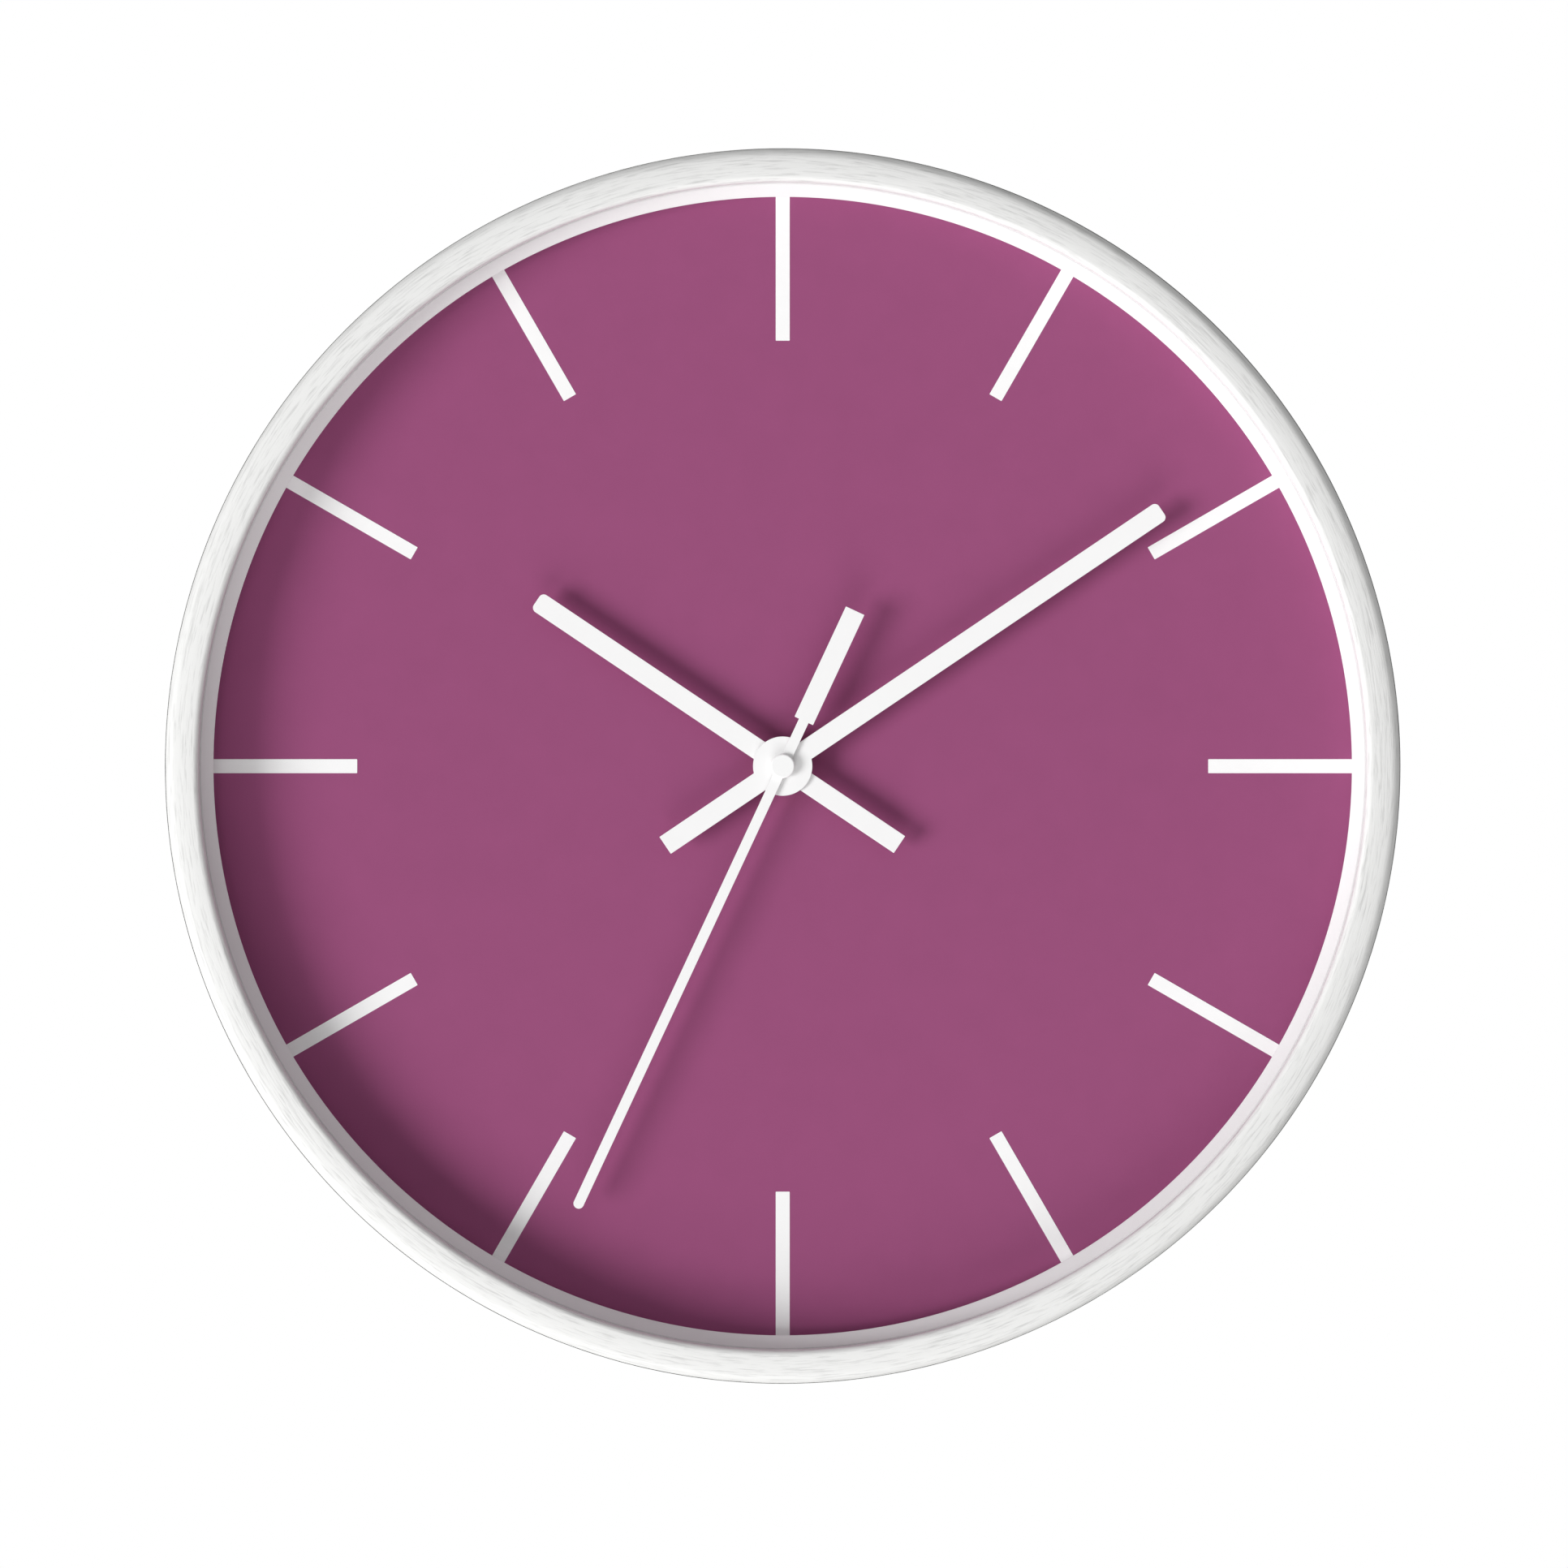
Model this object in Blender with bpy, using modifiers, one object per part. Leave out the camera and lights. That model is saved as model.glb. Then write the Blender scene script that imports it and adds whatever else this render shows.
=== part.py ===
"""Round wall clock: a turned wooden frame, a dial with three hands, and a quartz movement on its back.

Every piece is modelled on the dial's own axis: x to the right, y up and z out from the wall. The empty
dial_axis stands that frame upright, so the dial faces -Y, the wall is the plane y = 0 and the origin is
where the nail leaves the wall. The hands are modelled pointing at 12 and turned to the time they show.
"""

import math

import bmesh
import bpy

MM = 0.001

# Clearances that every fit uses
SEAT_GAP = 0.3 * MM  # between faces that rest on each other
EDGE_GAP = 0.3 * MM  # round a disc in the frame and a cover in the case
RUNNING_FIT = 0.15 * MM  # round a pin, a pipe or a bush

# Frame, turned from wood
FRAME_RADIUS = 127 * MM
FRAME_WALL = 5 * MM  # wood outside the rabbet that holds the lens and the dial
LIP_WIDTH = 7 * MM  # front face, from the outer edge to the opening
LIP_THICKNESS = 3.1 * MM
OUTER_ROUNDING = 2.4 * MM
INNER_ROUNDING = 1.2 * MM
BACK_ROUNDING = 1 * MM

# Discs and rings inside the frame
LENS_THICKNESS = 2 * MM
SPACER_TAPER = 1.4 * MM  # how much smaller the spacer's opening is at the dial
SPACER_BEVEL = 2.4 * MM  # how far its sloping face reaches in from the opening, and back from the lens
DIAL_THICKNESS = 0.8 * MM
BACKBOARD_THICKNESS = 3 * MM

# Spring-steel points that hold the backboard
POINT_COUNT = 6
POINT_WIDTH = 8 * MM
POINT_THICKNESS = 0.5 * MM
POINT_IN_WOOD = 2.2 * MM
POINT_REACH = 11 * MM  # from the wood in over the backboard

# Fixing of the movement to the dial. Its widths and walls are measured out from the bush or its hole.
BUSH_WALL = 1.35 * MM
BUSH_FLANGE_WIDTH = 1.85 * MM
BUSH_FLANGE_THICKNESS = 1 * MM
BUSH_PROUD = 0.5 * MM
NUT_WALL = 0.85 * MM
NUT_THICKNESS = 2.2 * MM
WASHER_WIDTH = 1.75 * MM
WASHER_THICKNESS = 0.6 * MM
GASKET_WIDTH = 4.85 * MM
GASKET_THICKNESS = 0.8 * MM

# Hanger, one strip of pressed steel cranked over the top of the case
NAIL_ABOVE_CASE = 8 * MM
HANGER_WIDTH = 14 * MM
HANGER_THICKNESS = 0.8 * MM
HANGER_BELOW_SHAFT = 9 * MM
HANGER_ABOVE_NAIL = 7.5 * MM
HANGER_STANDOFF = 6.5 * MM  # middle of its rear tab, from the wall
NAIL_HOLE_RADIUS = 4 * MM

# Hands. Their tips stop short of the dial's visible edge.
HAND_THICKNESS = 0.5 * MM
HAND_GAP = 0.4 * MM
HUB_RADIUS = 6.13 * MM
HAND_TIP_ROUNDING = 1.1 * MM
HOUR_ANGLE = 303.9
HOUR_HAND_WIDTH = 4.37 * MM
HOUR_TIP_MARGIN = 57.3 * MM
HOUR_TAIL = 29.1 * MM
MINUTE_ANGLE = 56.0
MINUTE_HAND_WIDTH = 4.34 * MM
MINUTE_TIP_MARGIN = 24.1 * MM
MINUTE_TAIL = 29.3 * MM
SECOND_ANGLE = 205.0
SECOND_HAND_WIDTH = 2.17 * MM
SECOND_HAND_THICKNESS = 0.4 * MM
SECOND_TIP_MARGIN = 17.9 * MM
SECOND_TAIL = 35.4 * MM
SECOND_WEIGHT_WIDTH = 4.21 * MM
SECOND_WEIGHT_LENGTH = 25.1 * MM
BOSS_WALL = 0.35 * MM
CAP_RADIUS = 2.5 * MM
CAP_THICKNESS = 0.6 * MM
LENS_ROOM = 0.6 * MM  # between the second hand's cap and the lens

# Pipes and arbors on the dial's axis, one inside the next
SECOND_ARBOR_RADIUS = 0.6 * MM
MINUTE_PIPE_WALL = 0.85 * MM
HOUR_PIPE_WALL = 0.75 * MM
ARBOR_RADIUS = 0.5 * MM
SETTING_ARBOR_RADIUS = 1 * MM

# Gears: teeth, spacing of their arbors, and where those arbors stand round the dial's axis
TRAIN_SPACING = 10.8 * MM
ROTOR_SPACING = 9.8 * MM
SETTING_ARBOR_ROOM = 1.16 * MM  # from the setting arbor to the wheels that turn beside it
THIRD_DIRECTION = 90
INTERMEDIATE_DIRECTION = -5
ROTOR_DIRECTION = 50
SETTING_DIRECTION = 155
PINION_TEETH = 8
INTERMEDIATE_TEETH = 48
SECONDS_TEETH = 40
THIRD_TEETH = 60
CENTRE_TEETH = 64
CANNON_TEETH = 10
SETTING_TEETH = 30
HOUR_TEETH = 32
ADDENDUM = 0.8  # of a module
DEDENDUM = 1.05
PINION_TOOTH = (0.25, 0.6)  # width at the tip and at the root, as shares of the pitch
WHEEL_TOOTH = (0.3, 0.65)

# Depths inside the movement
CASE_STANDOFF = 4.2 * MM  # from the wall to the back of the case
CASE_WALL = 1.2 * MM
COVER_INSET = 0.4 * MM
COVER_THICKNESS = 1.2 * MM
FIRST_LAYER_ROOM = 1.2 * MM
WHEEL_THICKNESS = 0.8 * MM
MOTION_THICKNESS = 1.2 * MM
LAYER_GAP = 0.6 * MM
MIDDLE_PLATE_GAP = 0.7 * MM
MIDDLE_PLATE_THICKNESS = 1 * MM
MOTION_GAP = 0.5 * MM

# Plan of the movement
CASE_CORNER = 3 * MM
WHEEL_ROOM = 0.5 * MM
DIVIDER_THICKNESS = 1 * MM
BATTERY_DIAMETER = 14.5 * MM
BATTERY_LENGTH = 50.5 * MM
BATTERY_BUTTON_RADIUS = 2.75 * MM
BATTERY_BUTTON_LENGTH = 0.9 * MM
BATTERY_ROOM = 0.35 * MM
CONTACT_ROOM = 1.55 * MM
CONTACT_THICKNESS = 0.4 * MM
CONTACT_BUMP_RADIUS = 2.5 * MM
BEARING_RADIUS = 1.4 * MM
BEARING_HEIGHT = 0.9 * MM
KNOB_RADIUS = 4.5 * MM
KNOB_THICKNESS = 2.6 * MM
KNOB_RIDGES = 16

# Stepping motor and electronics
MAGNET_RADIUS = 3 * MM
MAGNET_THICKNESS = 2.4 * MM
AIR_GAP = 0.5 * MM
STATOR_WEB = 1.06 * MM
STATOR_LEG = 1.8 * MM
COIL_LENGTH = 9.8 * MM  # between the stator's legs
COIL_Y = 23.5 * MM  # from the shaft up to the coil
COIL_RADIUS = 3 * MM
COIL_WINDING_RADIUS = 2.8 * MM
BOBBIN_TUBE_RADIUS = 1.75 * MM
BOBBIN_BORE_RADIUS = 1.35 * MM
BOBBIN_FLANGE = 0.8 * MM
CORE_WIDTH = 2 * MM
BOARD_THICKNESS = 1 * MM
BOARD_WIDTH = 13 * MM
BOARD_HEIGHT = 30 * MM
CHIP_SIDE = 4 * MM
CRYSTAL_RADIUS = 1 * MM
CRYSTAL_LENGTH = 6 * MM

# Facets
FRAME_STEPS = 96
ROUND_STEPS = 24
PIN_STEPS = 16
SHARP_ANGLE = math.radians(35)  # edges over this stay crisp

# Depth of every layer from the wall, worked out from the back of the case forwards
CASE_BACK = CASE_STANDOFF
COVER_BACK = CASE_BACK + COVER_INSET
COVER_FRONT = COVER_BACK + COVER_THICKNESS
LAYERS = [COVER_FRONT + FIRST_LAYER_ROOM + i * (WHEEL_THICKNESS + LAYER_GAP) for i in range(4)]
MIDDLE_PLATE_BACK = LAYERS[3] + WHEEL_THICKNESS + MIDDLE_PLATE_GAP
MIDDLE_PLATE_FRONT = MIDDLE_PLATE_BACK + MIDDLE_PLATE_THICKNESS
CANNON_BACK = MIDDLE_PLATE_FRONT + MOTION_GAP
HOUR_WHEEL_BACK = CANNON_BACK + MOTION_THICKNESS + LAYER_GAP
FLANGE_BACK = HOUR_WHEEL_BACK + MOTION_THICKNESS + SEAT_GAP
PLATE_INNER = FLANGE_BACK + BUSH_FLANGE_THICKNESS + SEAT_GAP
CASE_FRONT = PLATE_INNER + CASE_WALL
HANGER_BACK = CASE_FRONT + SEAT_GAP
GASKET_BACK = HANGER_BACK + HANGER_THICKNESS + SEAT_GAP
BACKBOARD_BACK = GASKET_BACK + GASKET_THICKNESS + SEAT_GAP
DIAL_BACK = BACKBOARD_BACK + BACKBOARD_THICKNESS + SEAT_GAP
DIAL_FRONT = DIAL_BACK + DIAL_THICKNESS
WASHER_BACK = DIAL_FRONT + SEAT_GAP
NUT_BACK = WASHER_BACK + WASHER_THICKNESS + SEAT_GAP
BUSH_FRONT = NUT_BACK + NUT_THICKNESS + BUSH_PROUD
HOUR_HAND_BACK = BUSH_FRONT + SEAT_GAP
MINUTE_HAND_BACK = HOUR_HAND_BACK + HAND_THICKNESS + HAND_GAP
MINUTE_HAND_FRONT = MINUTE_HAND_BACK + HAND_THICKNESS
SECOND_HAND_BACK = MINUTE_HAND_FRONT + HAND_GAP + RUNNING_FIT
SECOND_HAND_FRONT = SECOND_HAND_BACK + SECOND_HAND_THICKNESS
CAP_BACK = SECOND_HAND_FRONT + SEAT_GAP
CAP_FRONT = CAP_BACK + CAP_THICKNESS
LENS_BACK = CAP_FRONT + LENS_ROOM
LENS_FRONT = LENS_BACK + LENS_THICKNESS
LIP_BACK = LENS_FRONT + SEAT_GAP
FRAME_FRONT = LIP_BACK + LIP_THICKNESS

# Radii inside the frame
RABBET_RADIUS = FRAME_RADIUS - FRAME_WALL
OPENING_RADIUS = FRAME_RADIUS - LIP_WIDTH
DISC_RADIUS = RABBET_RADIUS - EDGE_GAP
DIAL_VISIBLE_RADIUS = OPENING_RADIUS - SPACER_TAPER

# Radii of the pipes, the bush and what sits round it, from the arbor outwards
BOSS_RADIUS = SECOND_ARBOR_RADIUS + RUNNING_FIT + BOSS_WALL
MINUTE_PIPE_RADIUS = SECOND_ARBOR_RADIUS + RUNNING_FIT + MINUTE_PIPE_WALL
HOUR_PIPE_RADIUS = MINUTE_PIPE_RADIUS + RUNNING_FIT + HOUR_PIPE_WALL
BUSH_RADIUS = HOUR_PIPE_RADIUS + RUNNING_FIT + BUSH_WALL
BUSH_HOLE_RADIUS = BUSH_RADIUS + RUNNING_FIT
BUSH_FLANGE_RADIUS = BUSH_HOLE_RADIUS + BUSH_FLANGE_WIDTH
NUT_FLATS = 2 * (BUSH_HOLE_RADIUS + NUT_WALL)
WASHER_RADIUS = BUSH_HOLE_RADIUS + WASHER_WIDTH
GASKET_RADIUS = BUSH_HOLE_RADIUS + GASKET_WIDTH


def polar(radius, degrees, centre=(0.0, 0.0)):
    """The point at this distance and direction from centre."""
    angle = math.radians(degrees)
    return (centre[0] + radius * math.cos(angle), centre[1] + radius * math.sin(angle))


def module_of(spacing, teeth, other_teeth):
    """The module that makes two gears mesh on arbors this far apart."""
    return 2 * spacing / (teeth + other_teeth)


def wheel_reach(spacing, teeth, other_teeth):
    """A gear's outer radius."""
    module = module_of(spacing, teeth, other_teeth)
    return module * (teeth / 2 + ADDENDUM)


# Places of the arbors; the setting arbor runs to the back outside the widest wheel on the shaft
TRAIN_REACH = max(
    wheel_reach(TRAIN_SPACING, SECONDS_TEETH, PINION_TEETH),
    wheel_reach(TRAIN_SPACING, CENTRE_TEETH, PINION_TEETH),
)
SETTING_SPACING = TRAIN_REACH + SETTING_ARBOR_ROOM + SETTING_ARBOR_RADIUS
SHAFT = (0.0, 0.0)
THIRD = polar(TRAIN_SPACING, THIRD_DIRECTION)
INTERMEDIATE = polar(TRAIN_SPACING, INTERMEDIATE_DIRECTION)
ROTOR = polar(ROTOR_SPACING, ROTOR_DIRECTION, INTERMEDIATE)
SETTING = polar(SETTING_SPACING, SETTING_DIRECTION)

# The case is as large as the battery, the wheels and the motor need
WIDEST_WHEEL = max(TRAIN_REACH, wheel_reach(SETTING_SPACING, HOUR_TEETH, PINION_TEETH))
STATOR_LEFT = ROTOR[0] - MAGNET_RADIUS - AIR_GAP - STATOR_WEB
STATOR_RIGHT = STATOR_LEFT + COIL_LENGTH + 2 * STATOR_LEG
BAY_HALF = BATTERY_LENGTH / 2 + CONTACT_ROOM
INNER_HALF = max(BAY_HALF, STATOR_RIGHT + 3 * EDGE_GAP)
ROOM_BOTTOM = -(WIDEST_WHEEL + WHEEL_ROOM)
THIRD_TOP = THIRD[1] + wheel_reach(TRAIN_SPACING, THIRD_TEETH, PINION_TEETH)
ROOM_TOP = max(COIL_Y + COIL_RADIUS, THIRD_TOP) + EDGE_GAP
BAY_TOP = ROOM_BOTTOM - DIVIDER_THICKNESS
BAY_BOTTOM = BAY_TOP - BATTERY_DIAMETER - 2 * BATTERY_ROOM
CASE_TOP = ROOM_TOP + CASE_WALL
HANGER_DROP = CASE_TOP + NAIL_ABOVE_CASE  # from the nail down to the dial's centre
BATTERY_Y = (BAY_TOP + BAY_BOTTOM) / 2
BATTERY_DEPTH = PLATE_INNER - SEAT_GAP - BATTERY_DIAMETER / 2
BOARD_BACK = PLATE_INNER - SEAT_GAP - BOARD_THICKNESS
STATOR_BACK = LAYERS[2]
CORE_BACK = STATOR_BACK + WHEEL_THICKNESS + SEAT_GAP


def clear_scene():
    for obj in list(bpy.data.objects):
        bpy.data.objects.remove(obj, do_unlink=True)


def new_collection(name):
    collection = bpy.data.collections.new(name)
    bpy.context.scene.collection.children.link(collection)
    return collection


clear_scene()
PARTS = new_collection("wall_clock")
CUTTERS = new_collection("cutters")
DIAL_AXIS = bpy.data.objects.new("dial_axis", None)
DIAL_AXIS.location = (0, 0, -HANGER_DROP)
DIAL_AXIS.rotation_euler = (math.pi / 2, 0, 0)
PARTS.objects.link(DIAL_AXIS)


def material(name, colour, roughness, metallic=0.0):
    """A Principled material; colour is linear red, green and blue."""
    made = bpy.data.materials.new(name)
    made.use_nodes = True
    shader = made.node_tree.nodes["Principled BSDF"]
    shader.inputs["Base Color"].default_value = (*colour, 1.0)
    shader.inputs["Roughness"].default_value = roughness
    shader.inputs["Metallic"].default_value = metallic
    return made


def place(obj, centre, depth, look):
    """Stands an object on the dial's axis frame and gives it its material."""
    obj.parent = DIAL_AXIS
    obj.location = (centre[0], centre[1], depth)
    obj.data.materials.append(look)
    PARTS.objects.link(obj)
    return obj


def circle(radius, steps=ROUND_STEPS, centre=(0.0, 0.0)):
    return [polar(radius, 360 * i / steps, centre) for i in range(steps)]


def arc(centre, radius, start, end, steps):
    """Points of an arc in a profile or outline, both ends included; angles in degrees."""
    return [polar(radius, start + (end - start) * i / steps, centre) for i in range(steps + 1)]


def rectangle(left, bottom, right, top, rounding=0.0, steps=3):
    """An anticlockwise rectangle, its corners rounded where asked."""
    if not rounding:
        return [(left, bottom), (right, bottom), (right, top), (left, top)]
    corners = ((right, top, 0), (left, top, 90), (left, bottom, 180), (right, bottom, 270))
    outline = []
    for x, y, start in corners:
        inset_x = x - math.copysign(rounding, x - (left + right) / 2)
        inset_y = y - math.copysign(rounding, y - (bottom + top) / 2)
        outline += arc((inset_x, inset_y), rounding, start, start + 90, steps)
    return outline


def solid(name, loops, low, high, look, centre=(0.0, 0.0), turn=0.0):
    """A flat outline, inner loops being holes, given a thickness from low to high and made a mesh."""
    curve = bpy.data.curves.new(name, "CURVE")
    curve.dimensions = "2D"
    curve.fill_mode = "BOTH"
    curve.extrude = (high - low) / 2
    for loop in loops:
        spline = curve.splines.new("POLY")
        spline.points.add(len(loop) - 1)
        spline.use_cyclic_u = True
        for point, (x, y) in zip(spline.points, loop):
            point.co = (x, y, 0, 1)
    guide = bpy.data.objects.new(name + "_outline", curve)
    bpy.context.scene.collection.objects.link(guide)
    graph = bpy.context.evaluated_depsgraph_get()
    mesh = bpy.data.meshes.new_from_object(guide.evaluated_get(graph))
    bpy.data.objects.remove(guide, do_unlink=True)
    mesh.name = name
    mesh.materials.clear()
    work = bmesh.new()
    work.from_mesh(mesh)
    bmesh.ops.remove_doubles(work, verts=work.verts, dist=1e-7)
    bmesh.ops.translate(work, verts=work.verts, vec=(0, 0, (high - low) / 2))
    bmesh.ops.recalc_face_normals(work, faces=work.faces)
    work.to_mesh(mesh)
    work.free()
    mesh.shade_smooth()
    mesh.set_sharp_from_angle(angle=SHARP_ANGLE)
    obj = bpy.data.objects.new(name, mesh)
    obj.rotation_euler = (0, 0, math.radians(turn))
    return place(obj, centre, low, look)


def turned(name, profile, closed, look, steps=ROUND_STEPS, centre=(0.0, 0.0), depth=0.0):
    """A profile of (radius, height) points, running down its outer side, screwed round its axis."""
    mesh = bpy.data.meshes.new(name)
    count = len(profile)
    edges = [(i, (i + 1) % count) for i in range(count if closed else count - 1)]
    mesh.from_pydata([(radius, 0, height) for radius, height in profile], edges, [])
    obj = bpy.data.objects.new(name, mesh)
    screw = obj.modifiers.new("turn", "SCREW")
    screw.axis = "Z"
    screw.steps = steps
    screw.render_steps = steps
    screw.use_merge_vertices = True
    screw.merge_threshold = 1e-6
    screw.use_smooth_shade = True
    return place(obj, centre, depth, look)


def ring(name, outer, inner, low, high, look, steps=ROUND_STEPS, centre=(0.0, 0.0)):
    """A flat ring or a tube from low to high."""
    profile = [(outer, high), (outer, low), (inner, low), (inner, high)]
    return turned(name, profile, True, look, steps, centre)


def rod(name, radius, low, high, look, steps=PIN_STEPS, centre=(0.0, 0.0)):
    """A plain round bar from low to high."""
    profile = [(0, high), (radius, high), (radius, low), (0, low)]
    return turned(name, profile, False, look, steps, centre)


def boolean(piece, operation, *others):
    """Joins or cuts piece with each other object, which goes to the cutters' collection."""
    for other in others:
        modifier = piece.modifiers.new(other.name, "BOOLEAN")
        modifier.operation = operation
        modifier.object = other
        PARTS.objects.unlink(other)
        CUTTERS.objects.link(other)
        other.hide_render = True
        other.display_type = "WIRE"
    return piece


def gear_outline(teeth, module, first_tooth, tooth):
    """Four points a tooth; first_tooth is the direction that one tooth points in."""
    tip_share, root_share = tooth
    tip_radius = module * (teeth / 2 + ADDENDUM)
    root_radius = module * (teeth / 2 - DEDENDUM)
    pitch = 360 / teeth
    outline = []
    for i in range(teeth):
        middle = first_tooth + i * pitch
        outline += [
            polar(root_radius, middle - root_share * pitch / 2),
            polar(tip_radius, middle - tip_share * pitch / 2),
            polar(tip_radius, middle + tip_share * pitch / 2),
            polar(root_radius, middle + root_share * pitch / 2),
        ]
    return outline


def gear_pair(spacing, pinion_teeth, wheel_teeth, direction):
    """Outlines of a pinion and the wheel it meshes with, which stands in this direction from it."""
    module = module_of(spacing, pinion_teeth, wheel_teeth)
    pinion = gear_outline(pinion_teeth, module, direction, PINION_TOOTH)
    facing_gap = direction + 180 + 180 / wheel_teeth
    wheel = gear_outline(wheel_teeth, module, facing_gap, WHEEL_TOOTH)
    return pinion, wheel


def build_frame(wood, steel):
    """The wooden ring, open at the back, with a lip in front of the rabbet, and the points in its wall."""
    face_outer = FRAME_RADIUS - OUTER_ROUNDING
    outer_arc = arc((face_outer, FRAME_FRONT - OUTER_ROUNDING), OUTER_ROUNDING, 90, 0, 5)
    back_centre = (FRAME_RADIUS - BACK_ROUNDING, BACK_ROUNDING)
    back_arc = arc(back_centre, BACK_ROUNDING, 0, -90, 2)
    lip_centre = (OPENING_RADIUS + INNER_ROUNDING, FRAME_FRONT - INNER_ROUNDING)
    lip_arc = arc(lip_centre, INNER_ROUNDING, 180, 90, 3)
    inside = [(RABBET_RADIUS, 0), (RABBET_RADIUS, LIP_BACK), (OPENING_RADIUS, LIP_BACK)]
    profile = outer_arc + back_arc + inside + lip_arc
    frame = turned("frame", profile, True, wood, FRAME_STEPS)

    point_front = BACKBOARD_BACK - SEAT_GAP
    point_back = point_front - POINT_THICKNESS
    inner_end = RABBET_RADIUS - POINT_REACH
    outer_end = RABBET_RADIUS + POINT_IN_WOOD
    strip = rectangle(inner_end, -POINT_WIDTH / 2, outer_end, POINT_WIDTH / 2)
    wide = POINT_WIDTH / 2 + SEAT_GAP
    slot_outline = rectangle(inner_end, -wide, outer_end + SEAT_GAP, wide)
    for i in range(POINT_COUNT):
        turn = 90 + i * 360 / POINT_COUNT
        solid(f"point_{i + 1}", [strip], point_back, point_front, steel, turn=turn)
        slot_low = point_back - SEAT_GAP
        slot_high = point_front + SEAT_GAP
        slot = solid(f"point_slot_{i + 1}", [slot_outline], slot_low, slot_high, steel, turn=turn)
        boolean(frame, "DIFFERENCE", slot)


def build_discs(acrylic, plastic, print_face, board):
    """What the frame holds: lens, spacer ring, dial and backboard, each dropped in from the back."""
    rod("lens", DISC_RADIUS, LENS_BACK, LENS_FRONT, acrylic, FRAME_STEPS)
    spacer_back = DIAL_FRONT + SEAT_GAP
    spacer_front = LENS_BACK - SEAT_GAP
    spacer_profile = [
        (DISC_RADIUS, spacer_front),
        (DISC_RADIUS, spacer_back),
        (DIAL_VISIBLE_RADIUS, spacer_back),
        (OPENING_RADIUS - SPACER_BEVEL, spacer_front - SPACER_BEVEL),
        (OPENING_RADIUS, spacer_front),
    ]
    turned("spacer_ring", spacer_profile, True, plastic, FRAME_STEPS)
    hole = circle(BUSH_HOLE_RADIUS)
    rim = circle(DISC_RADIUS, FRAME_STEPS)
    solid("dial", [rim, hole], DIAL_BACK, DIAL_FRONT, print_face)
    backboard_front = BACKBOARD_BACK + BACKBOARD_THICKNESS
    solid("backboard", [rim, hole], BACKBOARD_BACK, backboard_front, board)


def build_fixings(brass, steel, rubber):
    """The threaded bush with its washer, nut and gasket, which clamp the movement to the dial."""
    bore = HOUR_PIPE_RADIUS + RUNNING_FIT
    flange_front = FLANGE_BACK + BUSH_FLANGE_THICKNESS
    bush_profile = [
        (BUSH_RADIUS, BUSH_FRONT),
        (BUSH_RADIUS, flange_front),
        (BUSH_FLANGE_RADIUS, flange_front),
        (BUSH_FLANGE_RADIUS, FLANGE_BACK),
        (bore, FLANGE_BACK),
        (bore, BUSH_FRONT),
    ]
    turned("threaded_bush", bush_profile, True, brass)
    washer_front = WASHER_BACK + WASHER_THICKNESS
    ring("washer", WASHER_RADIUS, BUSH_HOLE_RADIUS, WASHER_BACK, washer_front, steel)
    hexagon = circle(NUT_FLATS / 2 / math.cos(math.pi / 6), 6)
    nut_front = NUT_BACK + NUT_THICKNESS
    solid("hex_nut", [hexagon, circle(BUSH_HOLE_RADIUS)], NUT_BACK, nut_front, brass)
    gasket_front = GASKET_BACK + GASKET_THICKNESS
    ring("gasket", GASKET_RADIUS, BUSH_HOLE_RADIUS, GASKET_BACK, gasket_front, rubber)


def build_hanger(steel):
    """A strip under the movement that cranks back over the case and up to the nail hole."""
    front = HANGER_BACK + HANGER_THICKNESS / 2
    crank = CASE_TOP + EDGE_GAP + HANGER_THICKNESS
    path = [
        (-HANGER_BELOW_SHAFT, front),
        (crank, front),
        (crank, HANGER_STANDOFF),
        (HANGER_DROP + HANGER_ABOVE_NAIL, HANGER_STANDOFF),
    ]
    half = HANGER_WIDTH / 2
    mesh = bpy.data.meshes.new("hanger_plate")
    corners = [(side * half, y, z) for y, z in path for side in (-1, 1)]
    faces = [(2 * i, 2 * i + 1, 2 * i + 3, 2 * i + 2) for i in range(len(path) - 1)]
    mesh.from_pydata(corners, [], faces)
    hanger = place(bpy.data.objects.new("hanger_plate", mesh), SHAFT, 0, steel)
    thicken = hanger.modifiers.new("thickness", "SOLIDIFY")
    thicken.thickness = HANGER_THICKNESS
    thicken.offset = 0
    thicken.use_even_offset = True
    around = 2 * HANGER_THICKNESS
    bush_hole = rod("hanger_bush_hole", BUSH_HOLE_RADIUS, front - around, front + around, steel, ROUND_STEPS)
    nail_low = HANGER_STANDOFF - around
    nail_high = HANGER_STANDOFF + around
    nail_place = (0, HANGER_DROP)
    nail_hole = rod("nail_hole", NAIL_HOLE_RADIUS, nail_low, nail_high, steel, ROUND_STEPS, nail_place)
    boolean(hanger, "DIFFERENCE", bush_hole, nail_hole)


def hand_outline(width, tip, tail):
    """A bar with a rounded tip and a square tail, both through the round hub, pointing at 12."""
    half = width / 2
    reach = math.sqrt(HUB_RADIUS**2 - half**2)
    edge = math.degrees(math.asin(half / HUB_RADIUS))
    corner = tip - HAND_TIP_ROUNDING
    inset = half - HAND_TIP_ROUNDING
    outline = [(half, reach)]
    outline += arc((inset, corner), HAND_TIP_ROUNDING, 0, 90, 3)
    outline += arc((-inset, corner), HAND_TIP_ROUNDING, 90, 180, 3)
    outline += arc((0, 0), HUB_RADIUS, 90 + edge, 270 - edge, 10)
    outline += [(-half, -tail), (half, -tail)]
    outline += arc((0, 0), HUB_RADIUS, 270 + edge, 450 - edge, 10)[:-1]
    return outline


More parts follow.
